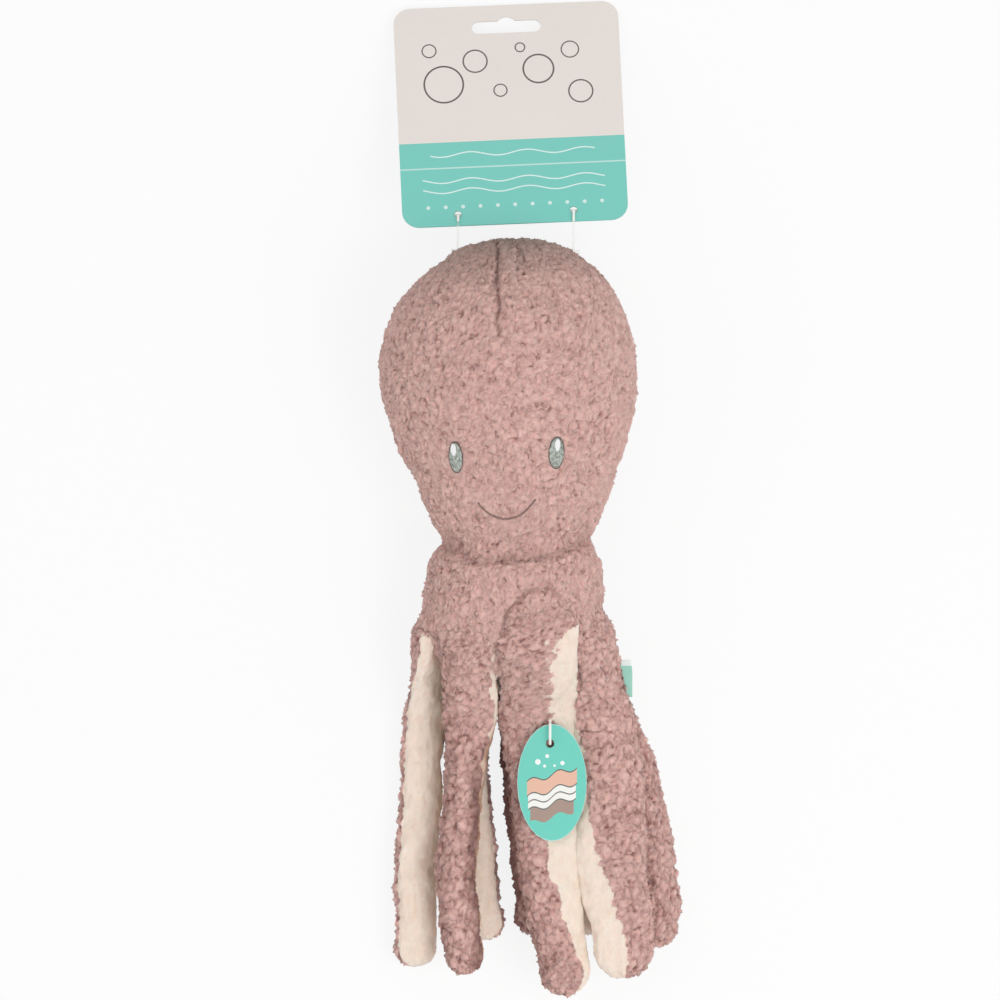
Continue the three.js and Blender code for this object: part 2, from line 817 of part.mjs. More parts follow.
function makeCard() {
  const { left, right: end } = tieLine();
  const middle = left.clone().add(end).multiplyScalar(0.5);
  const rest = headMiddle - cardThickness / 2 - floorClearance;
  const turn = THREE.MathUtils.degToRad(cardTurnDegrees);
  const farCorner = cardStandOff + cardLength * Math.cos(turn) + (cardWidth / 2) * Math.sin(turn);
  const slope = Math.asin(rest / farCorner);

  const swing = new THREE.Group();
  swing.position.copy(middle);
  swing.rotation.set(-slope, 0, Math.atan2(end.y - left.y, end.x - left.x), "ZXY");
  octopus.add(swing);

  const board = new THREE.Group();
  board.position.set(0, cardStandOff, 0);
  board.rotation.z = turn;
  swing.add(board);
  const halfSpan = left.distanceTo(end) / 2;
  const outline = cardOutline();
  outline.holes.push(slotOutline());
  const holes = [-1, 1].map((side) => tieHolePlace(side * halfSpan, turn));
  for (const hole of holes) {
    outline.holes.push(new THREE.Path().absarc(hole.x, hole.y, tieHoleRadius, 0, 2 * Math.PI));
  }
  const sheet = { depth: cardThickness, bevelEnabled: false, curveSegments: cardCurve };
  const cardGeometry = new THREE.ExtrudeGeometry(outline, sheet).translate(0, 0, -cardThickness / 2);
  add("hang_card", cardGeometry, card, board);

  for (const [name, side] of [["left", -1], ["right", 1]]) {
    const hole = tieHolePlace(side * halfSpan, turn).rotateAround(new THREE.Vector2(), turn);
    const eye = new THREE.Vector3(hole.x, hole.y + cardStandOff, 0);
    add(`card_fastener_${name}`, tieGeometry(new THREE.Vector3(side * halfSpan, 0, 0), eye), tiePlastic, swing);
  }
}

// A fastener's hole in the card, in the card's own frame, straight above the fastener's bar.
function tieHolePlace(x, turn) {
  return new THREE.Vector2((x + tieHoleInset * Math.sin(turn)) / Math.cos(turn), tieHoleInset);
}

// A fastener: a bar in the seam, a thread up the front of the card, through its hole, and a bar behind.
function tieGeometry(foot, eye) {
  const front = cardThickness / 2 + tieRadius + seamGap;
  const behind = -cardThickness / 2 - tieBarRadius - seamGap;
  const bar = barGeometry(tieBarRadius, tieBarLength);
  const bend = foot.clone().lerp(eye, tieBendShare).setZ(tieLiftShare * front);
  const before = foot.clone().lerp(eye, tieTopShare).setZ(front);
  const over = eye.clone().setZ(front);
  const under = eye.clone().setZ(behind);
  const run = tubeGeometry([foot, bend, before], tieRadius, tieSteps);
  const hook = tubeGeometry([before, over, under], tieRadius, tieSteps);
  const place = (point) => new THREE.Matrix4().setPosition(point);
  const joined = solid(run).add(solid(hook)).add(solid(bar, place(foot))).add(solid(bar, place(under)));
  return geometryOf(joined);
}

// The share of a tentacle's length at a place on the toy.
function shareAt(limb, y) {
  return (rootPlane - y) / limb.bodyLength;
}

// The height of a tentacle's upper side at a share of its length.
function limbTop(limb, share) {
  const ring = wholeRing(limbSection(limb, share, 0), topSteps);
  return Math.max(...ring.map((point) => point.z)) + seamGap / 2;
}

// Swing tag: an oval card that lies along the front tentacle. Its plastic loop stands in that
// tentacle's seam, and everything here is placed from the loop's foot.
function makeTag() {
  const limb = limbs.find((each) => each.name === "front");
  const footShare = loopDrop / limb.bodyLength;
  const foot = sectionPoint(limbSection(limb, footShare, 0), 0, 0);
  const upper = -loopRadius - loopClearance;
  const heightAt = (y) => limbTop(limb, shareAt(limb, foot.y + y)) + seamGap + tagThickness / 2 - foot.z;
  const high = heightAt(upper);
  const low = heightAt(upper - tagLength);

  const hang = new THREE.Group();
  hang.position.copy(foot);
  octopus.add(hang);
  const plane = new THREE.Group();
  plane.position.set(tagShift, upper, high);
  plane.rotation.x = Math.atan2(high - low, tagLength);
  hang.add(plane);

  const [halfWidth, halfLength] = [tagWidth / 2, tagLength / 2];
  const outline = new THREE.Shape().absellipse(0, -halfLength, halfWidth, halfLength, 0, 2 * Math.PI);
  outline.holes.push(new THREE.Path().absarc(-tagShift, -tagHoleInset, tagHoleRadius, 0, 2 * Math.PI));
  const sheet = { depth: tagThickness, bevelEnabled: false, curveSegments: tagCurve };
  const tag = new THREE.ExtrudeGeometry(outline, sheet).translate(0, 0, -tagThickness / 2);
  add("swing_tag", tag, tagCard, plane);

  const over = high + tagThickness / 2 + loopRise;
  const eye = upper - tagHoleInset;
  const loop = tubeGeometry(
    [
      new THREE.Vector3(0, 0, seamGap + loopRadius),
      new THREE.Vector3(0, upper / 2, high),
      new THREE.Vector3(0, upper, over),
      new THREE.Vector3(0, (upper + eye) / 2, over),
      new THREE.Vector3(0, eye, over),
      new THREE.Vector3(0, eye, high),
    ],
    loopRadius,
    loopSteps,
  );
  add("tag_loop", loop, tiePlastic, hang);
}

// Woven label: a folded tape that stands out of the seam of the front right tentacle.
function makeLabel() {
  const limb = limbs.find((each) => each.name === "front_right");
  const rings = [0, 0.5, 1].map((share) => {
    const y = rootPlane - labelDrop - share * labelLength;
    const section = limbSection(limb, shareAt(limb, y), 0);
    const seam = sectionPoint(section, 0, 0);
    const ahead = sectionPoint(section, -labelTurn, 0);
    const behind = sectionPoint(section, labelTurn, 0);
    const out = new THREE.Vector3(behind.z - ahead.z, 0, ahead.x - behind.x).normalize();
    const side = new THREE.Vector3(-out.z, 0, out.x).multiplyScalar(labelThickness / 2);
    const near = seam.clone().addScaledVector(out, labelGap);
    const far = seam.clone().addScaledVector(out, labelGap + labelReach);
    return [near.clone().sub(side), far.clone().sub(side), far.clone().add(side), near.clone().add(side)];
  });
  add("side_label", ringGeometry(rings), woven);
}

makeHead();
makeSqueaker();
makeFace();
makeSkirt();
makeLimbs();
makeCard();
makeTag();
makeLabel();

export default octopus;
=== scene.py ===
import math

import bpy
import numpy as np
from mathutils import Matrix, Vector
from mathutils.bvhtree import BVHTree


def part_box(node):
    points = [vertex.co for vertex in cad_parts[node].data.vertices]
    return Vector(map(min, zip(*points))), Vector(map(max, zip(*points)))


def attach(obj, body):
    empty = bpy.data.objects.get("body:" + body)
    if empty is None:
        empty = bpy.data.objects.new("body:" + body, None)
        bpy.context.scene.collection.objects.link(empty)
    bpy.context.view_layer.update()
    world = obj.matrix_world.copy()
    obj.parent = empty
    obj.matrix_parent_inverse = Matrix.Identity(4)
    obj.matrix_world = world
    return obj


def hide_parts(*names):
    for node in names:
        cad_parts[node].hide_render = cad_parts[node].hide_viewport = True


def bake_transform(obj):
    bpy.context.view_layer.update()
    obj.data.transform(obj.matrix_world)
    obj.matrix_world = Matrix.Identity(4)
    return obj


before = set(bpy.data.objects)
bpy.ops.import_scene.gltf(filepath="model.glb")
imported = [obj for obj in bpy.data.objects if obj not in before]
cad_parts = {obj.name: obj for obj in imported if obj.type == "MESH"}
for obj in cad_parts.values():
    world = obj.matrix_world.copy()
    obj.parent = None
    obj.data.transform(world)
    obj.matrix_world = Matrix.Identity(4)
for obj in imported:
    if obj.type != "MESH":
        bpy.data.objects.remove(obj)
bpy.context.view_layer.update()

bl_info = {
    "name": "Plush Octopus",
    "version": (1, 0, 0),
    "blender": (4, 5, 0),
    "location": "View3D > Sidebar > Octopus",
    "description": "Sews the skins, face, card, tag and label of a stuffed octopus round its frame",
    "category": "Object",
}

mm = 0.001
quarter = math.pi / 2


def srgb(red, green, blue):
    """A colour given as screen values from 0 to 255, as the linear values that a shader takes."""
    shares = [value / 255 for value in (red, green, blue)]
    return tuple(s / 12.92 if s <= 0.04045 else ((s + 0.055) / 1.055) ** 2.4 for s in shares)


def length(title, text, value):
    return bpy.props.FloatProperty(name=title, description=text, default=value, unit="LENGTH", precision=5)


def colour(title, text, value):
    return bpy.props.FloatVectorProperty(
        name=title, description=text, default=value, size=3, subtype="COLOR", min=0, max=1
    )


class OctopusSizes(bpy.types.PropertyGroup):
    pile: length("Pile", "Height of the curly pile", 2.3 * mm)
    lump_size: length("Lump size", "Distance between two lumps of the pile", 3.8 * mm)
    lock_size: length("Lock size", "Distance between two curled locks on the lumps", 2.3 * mm)
    tuft: length("Tuft", "How far single tufts of fibres stand out of the pile", 0.7 * mm)
    sink: length("Sink", "How far the cloth lies below the outline that the pile gives it", 1.3 * mm)
    seam_depth: length("Seam depth", "How far a seam draws the cloth in", 1.3 * mm)
    seam_width: length("Seam width", "Half the width that a seam draws in", 1.6 * mm)
    crease_depth: length("Crease depth", "How deep the neck creases", 2.6 * mm)
    crease_width: length("Crease width", "Half the width of the neck's crease", 3.4 * mm)
    swell: length("Swell", "The most that the filling may push the cloth out", 1.6 * mm)
    slack: length("Slack", "How much smaller the cloth is cut before the filling swells it", 1.3 * mm)
    stitch: length("Stitch", "Thickness of the thread in the eyes", 0.46 * mm)
    smile: length("Smile", "Thickness of the thread of the smile", 1.0 * mm)


class OctopusColours(bpy.types.PropertyGroup):
    plush: colour("Plush", "Dusty rose of the curly fleece", srgb(243, 199, 189))
    # The crevice colour is painted shade that darkens the pile between its lumps.
    crevice_shade: colour("Crevice", "Rose between the lumps of the pile", srgb(146, 90, 84))
    lining: colour("Lining", "Cream of the smooth side", srgb(250, 232, 217))
    silver: colour("Silver", "Thread that fills the eyes", srgb(198, 205, 196))
    outline: colour("Outline", "Thread round the eyes", srgb(104, 100, 94))
    glint: colour("Glint", "Thread of the eyes' highlights", srgb(255, 255, 255))
    smile: colour("Smile", "Thread of the smile", srgb(150, 120, 112))
    card: colour("Card", "Pale board of the hang card", srgb(236, 228, 222))
    band: colour("Band", "Printed band of the hang card", srgb(118, 208, 196))
    tag: colour("Tag", "Print of the oval tag", srgb(101, 207, 190))
    nylon: colour("Nylon", "Clear plastic of the ties", srgb(252, 251, 246))
    mint: colour("Mint", "Woven label", srgb(160, 214, 198))


class OctopusStage(bpy.types.PropertyGroup):
    camera_height: length("Camera height", "How far the camera hangs over the floor", 8.0)
    view_width: length("View width", "Width of the picture at the toy's middle height", 0.46)
    view_level: length("View level", "Height at which the view's width is measured", 0.04)
    view_x: length("View centre X", "Middle of the picture across", -3.565 * mm)
    view_y: length("View centre Y", "Middle of the picture along", -59.8 * mm)
    sensor: bpy.props.FloatProperty(name="Sensor", description="Width of the sensor in mm", default=36)


# Outline of the head and skirt with their pile, from the crown down to the hem, in mm: the place along
# the body, how far it reaches left and right, and the heights of its back and front.
body_rows = [
    (61.0, 4.6, 4.6, 45.65, 45.65),
    (59.6, -6.5, 16.0, 37.0, 54.5),
    (55.2, -22.6, 28.8, 26.6, 64.8),
    (50.6, -29.0, 35.2, 20.0, 71.4),
    (41.4, -40.6, 45.2, 11.9, 79.5),
    (32.2, -49.0, 51.0, 6.6, 84.8),
    (23.0, -54.0, 55.2, 3.1, 88.4),
    (9.2, -58.3, 58.6, 0.3, 91.2),
    (0.0, -59.3, 59.5, -0.3, 91.7),
    (-13.8, -57.6, 59.0, 0.0, 90.5),
    (-32.2, -52.3, 55.3, 1.3, 85.6),
    (-50.6, -45.4, 49.8, 3.6, 77.6),
    (-59.8, -41.5, 46.4, 5.2, 72.9),
    (-69.0, -36.2, 42.6, 7.0, 67.9),
    (-75.9, -31.9, 39.9, 8.6, 64.2),
    (-79.5, -31.2, 39.4, 9.0, 63.0),
    (-83.5, -34.0, 41.2, 8.2, 63.6),
    (-88.0, -36.6, 43.3, 7.2, 64.4),
    (-99.8, -39.0, 45.0, 4.8, 63.6),
    (-110.0, -40.4, 45.6, 2.8, 62.2),
    (-117.0, -41.6, 46.4, 1.6, 61.0),
    (-122.0, -41.0, 46.0, 1.4, 59.5),
    (-125.0, -37.0, 42.0, 4.0, 55.5),
]

# The points that close the skin at the crown and below the hem, and the place across of the crown's dart
crown_point = np.array([4.6, 61.0, 45.65]) * mm
hem_point = np.array([3.5, -124.9, 30]) * mm
dart_place = -4.7 * mm

# Places across the body, and along it, of the crease that the neck makes in front, in mm
crease_places = [(-34, -76.5), (-19.2, -84.2), (-15, -86.4), (0, -86), (11.2, -85.1), (25, -81.5), (42, -75.9)]

# The arch that the front tentacle's shoulder lifts in the skirt: its middle, its reach left and right,
# its height, and how full its curve is
arch_middle = (18 * mm, -124.3 * mm)
arch_wide = (23 * mm, 12 * mm)
arch_high = 26 * mm
arch_bend = 1.45

# Where the hem runs between two front tentacles: its place across, and how far it is drawn up there, in mm
hem_lifts = [(-36, 1), (-5, -6), (28, 6)]


def through(stops, values, at):
    """Smooth curve through the values at the stops, for an array of places."""
    stops, values, at = (np.asarray(v, float) for v in (stops, values, at))
    last = len(stops) - 1
    k = np.clip(np.searchsorted(stops, at, side="left") - 1, 0, last - 1)
    low, high = np.maximum(np.arange(last + 1) - 1, 0), np.minimum(np.arange(last + 1) + 1, last)
    slope = (values[high] - values[low]) / (stops[high] - stops[low])
    step = stops[k + 1] - stops[k]
    t = np.clip((at - stops[k]) / step, 0, 1)
    start = (2 * t**3 - 3 * t**2 + 1) * values[k] + (t**3 - 2 * t**2 + t) * step * slope[k]
    return start + (3 * t**2 - 2 * t**3) * values[k + 1] + (t**3 - t**2) * step * slope[k + 1]


def smoothstep(value, low, high):
    t = np.clip((np.asarray(value, float) - low) / (high - low), 0, 1)
    return t * t * (3 - 2 * t)


def beside(gap, reach):
    """Share from 1 on a line to 0 well outside its reach, for gaps from it."""
    return np.exp(-((gap / reach) ** 2))


# Noise that the pile is shaped with

hash_primes = np.array([73856093, 19349663, 83492791], np.int64)


def scattered(cells, seed):
    """Even random shares for whole-number cells, three for each."""
    mixed = (cells * hash_primes).sum(-1) + seed * 2654435761
    shares = []
    for _ in range(3):
        mixed = (mixed ^ (mixed >> 13)) * 1274126177 & 0x7FFFFFFFFFFF
        shares.append((mixed >> 8 & 0xFFFF) / 65535)
    return np.stack(shares, -1)


def soft_noise(places, size, seed):
    """Three smooth random values from -1 to 1 for each place."""
    scaled = places / size
    corner = np.floor(scaled).astype(np.int64)
    share = scaled - corner
    share = share * share * (3 - 2 * share)
    total = np.zeros_like(places)
    for step in np.ndindex(2, 2, 2):
        weight = np.where(np.array(step), share, 1 - share).prod(-1)
        total += weight[:, None] * scattered(corner + np.array(step), seed)
    return total * 2 - 1


def cells_round(scaled):
    """The 27 cells in and round which places in cells lie."""
    cell = np.floor(scaled).astype(np.int64)
    for step in np.ndindex(3, 3, 3):
        yield cell + np.array(step) - 1


def pebbles(places, size, seed):
    """Share from 0 in the crevices to 1 on the lumps."""
    scaled = places / size
    nearest, second = np.full((2, len(places)), 9.0)
    for other in cells_round(scaled):
        gap = np.linalg.norm(other + scattered(other, seed) - scaled, axis=1)
        second = np.where(gap < nearest, nearest, np.minimum(second, gap))
        nearest = np.minimum(nearest, gap)
    return np.clip((second - nearest) / 0.6, 0, 1)


# Half the length and the radius of a lock, in cells of the pile
lock_reach = 0.6
lock_radius = 0.62


def locks(places, size, seed):
    """Height of short curled locks of pile, how clear of its neighbours each stands, and its random share."""
    scaled = places / size
    tallest, next_best, tone = np.zeros((3, len(places)))
    for other in cells_round(scaled):
        jitter = scattered(other, seed)
        way = scattered(other, seed + 50) - 0.5
        way /= np.linalg.norm(way, axis=1, keepdims=True) + 1e-9
        off = scaled - other - jitter
        along = np.clip((off * way).sum(1), -lock_reach, lock_reach)
        gap = np.linalg.norm(off - along[:, None] * way, axis=1) / (lock_radius * (0.8 + 0.4 * jitter[:, 0]))
        height = np.sqrt(np.clip(1 - gap * gap, 0, 1)) * (0.75 + 0.25 * jitter[:, 1])
        taller = height > tallest
        next_best = np.where(taller, tallest, np.maximum(next_best, height))
        tallest = np.where(taller, height, tallest)
        tone = np.where(taller, jitter[:, 2], tone)
    return tallest, np.clip((tallest - next_best) / 0.3, 0, 1), tone


# Mesh helpers


def read(rows, key, *shape):
    """The numbers under a key of all vertices, or of all values of an attribute."""
    values = np.empty((len(rows), *shape), np.float32)
    rows.foreach_get(key, values.ravel())
    return values.astype(float)


def coordinates(piece):
    return read(piece.data.vertices, "co", 3)


def place(piece, places):
    piece.data.vertices.foreach_set("co", places.astype(np.float32).ravel())
    piece.data.update()


def normals(piece):
    return read(piece.data.vertices, "normal", 3)


def store(piece, name, values):
    attribute = piece.data.attributes.get(name) or piece.data.attributes.new(name, "FLOAT", "POINT")
    attribute.data.foreach_set("value", np.asarray(values, np.float32).ravel())


def fetch(piece, name):
    return read(piece.data.attributes[name].data, "value")


def add_mesh(name, vertices, faces):
    data = bpy.data.meshes.new(name)
    data.from_pydata(vertices.tolist(), [], faces)
    piece = bpy.data.objects.new(name, data)
    bpy.context.scene.collection.objects.link(piece)
    return piece


def whole_turn(count):
    return np.linspace(0, 2 * math.pi, count + 1)[:-1]


def loft(name, rings, closing, **attributes):
    """Closed skin through rings of as many points each, drawn together to a point at both ends."""
    rows, count = rings.shape[:2]
    faces = []
    for row in range(rows - 1):
        for k in range(count):
            a, b = row * count + k, row * count + (k + 1) % count
            faces.append((a, b, b + count, a + count))
    first, last = rows * count, (rows - 1) * count
    for k in range(count):
        faces.append((first, (k + 1) % count, k))
        faces.append((first + 1, last + k, last + (k + 1) % count))
    piece = add_mesh(name, np.vstack([rings.reshape(-1, 3), closing]), faces)
    for key, values in attributes.items():
        ends = [values[0].mean(), values[-1].mean()]
        store(piece, key, np.concatenate([values.ravel(), ends]))
    make_active(piece)
    bpy.ops.object.mode_set(mode="EDIT")
    bpy.ops.mesh.select_all(action="SELECT")
    bpy.ops.mesh.normals_make_consistent(inside=False)
    bpy.ops.object.mode_set(mode="OBJECT")
    return piece


def tape(name, rows):
    """Open strip of cloth through rows of as many points each."""
    count = rows.shape[1]
    corners = [(row * count + k, row * count + k + 1) for row in range(len(rows) - 1) for k in range(count - 1)]
    return add_mesh(name, rows.reshape(-1, 3), [(a, b, b + count, a + count) for a, b in corners])


def make_active(piece):
    bpy.ops.object.select_all(action="DESELECT")
    piece.select_set(True)
    bpy.context.view_layer.objects.active = piece


def apply(piece, modifier):
    make_active(piece)
    bpy.ops.object.modifier_apply(modifier=modifier.name)


def refine(piece, levels):
    subdivision = piece.modifiers.new("Fine cloth", "SUBSURF")
    subdivision.levels = levels
    subdivision.render_levels = levels
    apply(piece, subdivision)
    piece.data.shade_smooth()


# How hard the filling presses, how many frames it presses for, the heights between which the cloth is
# left as it lies on the floor, and the distances from a closing point at which its push is evened
filling_pressure = 3.0
filling_frames = 20
floor_fade = (1.5 * mm, 7 * mm)
pole_ring = (5 * mm, 8 * mm)
pole_fade = (2.5 * mm, 6 * mm)


def stuff(piece, pinned, slack, most, pole):
    """Cuts the cloth smaller and lets the filling press it out between what is pinned, by no more than a length."""
    rest = coordinates(piece)
    rest = rest - normals(piece) * (slack * smoothstep(rest[:, 2], *floor_fade))[:, None]
    place(piece, rest)
    group = piece.vertex_groups.new(name="pinned")
    for index in np.flatnonzero(pinned):
        group.add([int(index)], 1.0, "REPLACE")
    cloth = piece.modifiers.new("Filling", "CLOTH")
    settings = cloth.settings
    settings.use_pressure = True
    settings.uniform_pressure_force = filling_pressure
    settings.vertex_group_mass = group.name
    settings.effector_weights.gravity = 0
    settings.shrink_min = -0.03
    settings.quality = 5
    scene = bpy.context.scene
    for number in range(1, filling_frames + 1):
        scene.frame_set(number)
    apply(piece, cloth)
    scene.frame_set(1)
    moved = coordinates(piece) - rest
    far = np.linalg.norm(moved, axis=1, keepdims=True)
    moved *= np.minimum(1, most / np.maximum(far, 1e-9))
    gap = np.linalg.norm(rest - pole, axis=1)
    around = moved[(gap > pole_ring[0]) & (gap < pole_ring[1])].mean(0)
    moved = around + (moved - around) * smoothstep(gap, *pole_fade)[:, None]
    place(piece, rest + moved)
    piece.vertex_groups.clear()


# Where the noise of each piece's pile starts, and how far apart two tentacles' noises lie
body_seed, base_seed, limb_seed, seed_step = 11, 97, 31, 7


def raise_pile(piece, plush, unshaded_share, sizes, seed, fullness=1.0, lumpy=0.34, settled=1.0):
    """Shapes the curly pile on a skin, where plush is 1, and stores its height and its share out of painted shade."""
    places, outward = coordinates(piece), normals(piece)
    warp = soft_noise(places, 6 * mm, seed) * 1.5 * mm + soft_noise(places, 1.7 * mm, seed + 1) * 0.95 * mm
    lump = pebbles((places + warp) * (1, 0.78, 1), sizes.lump_size, seed + 2)
    lock, clear, tone = locks(places + warp, sizes.lock_size * fullness, seed + 3)
    height = lumpy * lump**0.6 + lock * (0.82 - lumpy + 0.18 * clear)
    grain = soft_noise(places, 0.9 * mm, seed + 4)[:, 0]
    uneven = soft_noise(places, 13 * mm, seed + 5)[:, 0] * 0.35 * mm
    tuft = scattered(np.arange(len(places) * 3).reshape(-1, 3), seed + 7)
    spike = (tuft[:, 0] > 1 - 0.1 * fullness) * (0.4 + 0.6 * tuft[:, 1]) * plush
    rise = spike * sizes.tuft * (2 * fullness - 1)
    rise += plush * ((height * sizes.pile - sizes.sink) * fullness + uneven + grain * 0.22 * mm)
    combed = soft_noise(places * (1, 0.3, 1), 1.4 * mm, seed + 10)[:, 0]
    nap = soft_noise(places, 3.2 * mm, seed + 6)[:, 0] * 0.35 + grain * 0.25 + (lock - 0.5) * 0.2 + combed * 0.3
    rise += (1 - plush) * (nap * mm + 0.3 * mm * (tuft[:, 2] > 0.93))
    rise *= settled
    places = places + outward * rise[:, None]
    places[:, 2] = np.maximum(places[:, 2], 0.05 * mm)
    place(piece, places)
    pile = np.clip(height + grain * 0.08, 0, 1)
    for name, values in {"pile": pile, "tone": tone, "lump": lump, "unshaded": unshaded_share, "plush": plush}.items():
        store(piece, name, values)


# Shader maths


def both(operation):
    """The methods by which a wire takes part in a sum before and after the other value."""
    return (
        lambda wire, other: wire.math(operation, wire, other),
        lambda wire, other: wire.math(operation, other, wire),
    )


class Wire:
    """A shader socket that takes part in sums. Each sum adds its Math node."""

    __add__, __radd__ = both("ADD")
    __sub__, __rsub__ = both("SUBTRACT")
    __mul__, __rmul__ = both("MULTIPLY")
    __truediv__, __pow__ = both("DIVIDE")[0], both("POWER")[0]
    above, below = both("GREATER_THAN")[0], both("LESS_THAN")[0]

    def __init__(self, tree, socket):
        self.tree = tree
        self.socket = socket

    def math(self, operation, *values):
        node = self.tree.nodes.new("ShaderNodeMath")
        node.operation = operation
        for index, value in enumerate(values):
            if isinstance(value, Wire):
                self.tree.links.new(value.socket, node.inputs[index])
            else:
                node.inputs[index].default_value = value
        return Wire(self.tree, node.outputs[0])

    def clamped(self):
        return self.math("MINIMUM", self.math("MAXIMUM", self, 0.0), 1.0)

    def wave(self):
        return self.math("SINE", self)

    def size(self):
        return self.math("ABSOLUTE", self)


class Finish:
    """A material under construction: its tree, and a way to add any node to it."""

    def __init__(self, name, **constants):
        self.material = bpy.data.materials.new(name)
        self.material.use_nodes = True
        self.tree = self.material.node_tree
        self.shader = self.tree.nodes["Principled BSDF"]
        for socket, value in constants.items():
            self.shader.inputs[socket.replace("_", " ")].default_value = value

    def node(self, kind, output, settings=None, **inputs):
        made = self.tree.nodes.new(kind)
        for key, value in (settings or {}).items():
            setattr(made, key, value)
        for key, value in inputs.items():
            self.feed(made.inputs[key.replace("_", " ")], value)
        return Wire(self.tree, made.outputs[output])

    def feed(self, socket, value):
        if isinstance(value, Wire):
            self.tree.links.new(value.socket, socket)
        elif socket.type == "RGBA" and len(value) == 3:
            socket.default_value = (*value, 1)
        else:
            socket.default_value = value

    def place(self):
        return self.node("ShaderNodeTexCoord", "Object")

    def value(self, attribute):
        return self.node("ShaderNodeAttribute", "Fac", {"attribute_name": attribute})

    def noise(self, at, scale, detail=2.0, rough=0.5):
        return self.node("ShaderNodeTexNoise", "Fac", Vector=at, Scale=scale, Detail=detail, Roughness=rough)

    def mix(self, share, first, second, how="MIX"):
        made = self.tree.nodes.new("ShaderNodeMix")
        made.data_type = "RGBA"
        made.blend_type = how
        colours = [socket for socket in made.inputs if socket.type == "RGBA"]
        self.feed(made.inputs["Factor"], share)
        self.feed(colours[0], first)
        self.feed(colours[1], second)
        return Wire(self.tree, next(s for s in made.outputs if s.type == "RGBA"))

    def split(self, vector):
        made = self.tree.nodes.new("ShaderNodeSeparateXYZ")
        self.feed(made.inputs[0], vector)
        return [Wire(self.tree, made.outputs[k]) for k in range(3)]

    def turned(self, at, centre, angles):
        """The place on a sheet, from its centre and along its own sides."""
        moved = self.node("ShaderNodeVectorMath", "Vector", {"operation": "SUBTRACT"})
        node = moved.socket.node
        self.feed(node.inputs[0], at)
        node.inputs[1].default_value = centre
        mapping = self.node("ShaderNodeMapping", "Vector", {"vector_type": "TEXTURE"}, Vector=moved)
        mapping.socket.node.inputs["Rotation"].default_value = angles
        return mapping

    def bent(self, at, scale, reach):
        """Places shifted a little by noise, so that what is drawn on them wanders."""
        wander = self.node("ShaderNodeTexNoise", "Color", Vector=at, Scale=scale, Detail=2.0)
        moved = self.node("ShaderNodeVectorMath", "Vector", {"operation": "MULTIPLY_ADD"})
        inputs = moved.socket.node.inputs
        self.feed(inputs[0], wander)
        inputs[1].default_value = (reach, reach, reach)
        self.feed(inputs[2], at)
        return moved

    def colour(self, value):
        self.feed(self.shader.inputs["Base Color"], value)

    def rough(self, value):
        self.feed(self.shader.inputs["Roughness"], value)

    def bump(self, height, distance, strength=1.0):
        raised = self.node("ShaderNodeBump", "Normal", Height=height, Distance=distance, Strength=strength)
        self.feed(self.shader.inputs["Normal"], raised)


# Light that soaks into the pile and comes out warm beside where it fell, and the sheen of its fibres
pile_light = {
    "Subsurface_Weight": 0.3, "Subsurface_Radius": (1.0, 0.4, 0.3), "Subsurface_Scale": 2.5 * mm,
    "Sheen_Weight": 0.3, "Sheen_Tint": (*srgb(255, 240, 234), 1), "Specular_IOR_Level": 0.12,
}

# Colours of single parts of the cloths: pale locks with painted highlight, faded fleece, painted shade of the
# fleece and of the crown, the cream side's streaks, brushed places and flecks, and its painted shade
lit_lock = srgb(250, 214, 206)
dull_rose = srgb(204, 164, 158)
shaded_rose = srgb(112, 66, 60)
shaded_crown = srgb(146, 134, 124)
cream_streak = srgb(228, 204, 184)
brushed_cream = srgb(255, 246, 236)
cream_fleck = srgb(186, 176, 168)
shaded_cream = srgb(184, 142, 116)

# How strongly painted shade darkens the fleece of each piece between its locks
body_contrast = 0.5
limb_contrast = 0.85


def rose_pile(finish, at, fibre, colours, contrast):
    """Colour and relief of curly fleece: locks with painted highlights, painted shade between them and in creases."""
    height = finish.value("pile")
    tone = finish.value("tone")
    out_of_shade = finish.value("unshaded")
    bent = finish.bent(at, 420, 2.6 * mm)
    upright = finish.node("ShaderNodeMapping", "Vector", Vector=bent, Scale=(1.15, 0.7, 1))
    wander = finish.noise(upright, 300, 1.0)
    broken = finish.noise(at, 190, 1.0)
    stroke = (1 - (wander - 0.5).size() * 10).clamped() * ((broken - 0.47) * 5).clamped()
    curl = (1 - (finish.noise(upright, 760, 1.0) - 0.5).size() * 8).clamped()
    cloud = finish.noise(at, 24, 2.0)
    furrow = (1 - finish.value("lump")) ** 3
    # Painted shade between the locks: the lower the pile, the nearer its colour comes to the crevice shade.
    depth = 0.4 + 0.6 * contrast
    deep = tuple(c * depth + p * (1 - depth) for p, c in zip(colours.plush, colours.crevice_shade))
    low = ((height - 0.04 - 0.12 * contrast) * 3.2 + (fibre - 0.5) * 0.4).clamped()
    high = ((height - 0.34) * 1.9 + (fibre - 0.5) * 0.7).clamped()
    middle = finish.mix(0.14 + 0.2 * contrast, colours.plush, colours.crevice_shade)
    rose = finish.mix(low, deep, middle)
    rose = finish.mix(high, rose, colours.plush)
    # Paler locks: partly each lock's own random tone, partly a painted highlight along their curls.
    rose = finish.mix((tone * 0.26 + curl * 0.22).clamped(), rose, lit_lock)
    # Painted shade in thin broken creases between the locks.
    rose = finish.mix((stroke * (0.3 + 0.25 * contrast)).clamped(), rose, colours.crevice_shade)
    # Painted shade in the furrows between the lumps.
    rose = finish.mix((furrow * (0.06 + 0.34 * contrast)).clamped(), rose, colours.crevice_shade)
    rose = finish.mix((cloud * 0.5 - 0.16).clamped(), rose, dull_rose)
    # Painted shade where the pile lies in creases and seams or on flanks facing the gaps between tentacles.
    rose = finish.mix(((1 - out_of_shade) * 0.85).clamped(), rose, shaded_rose)
    relief = curl * 0.8 - stroke + fibre * 0.6
    return rose, relief


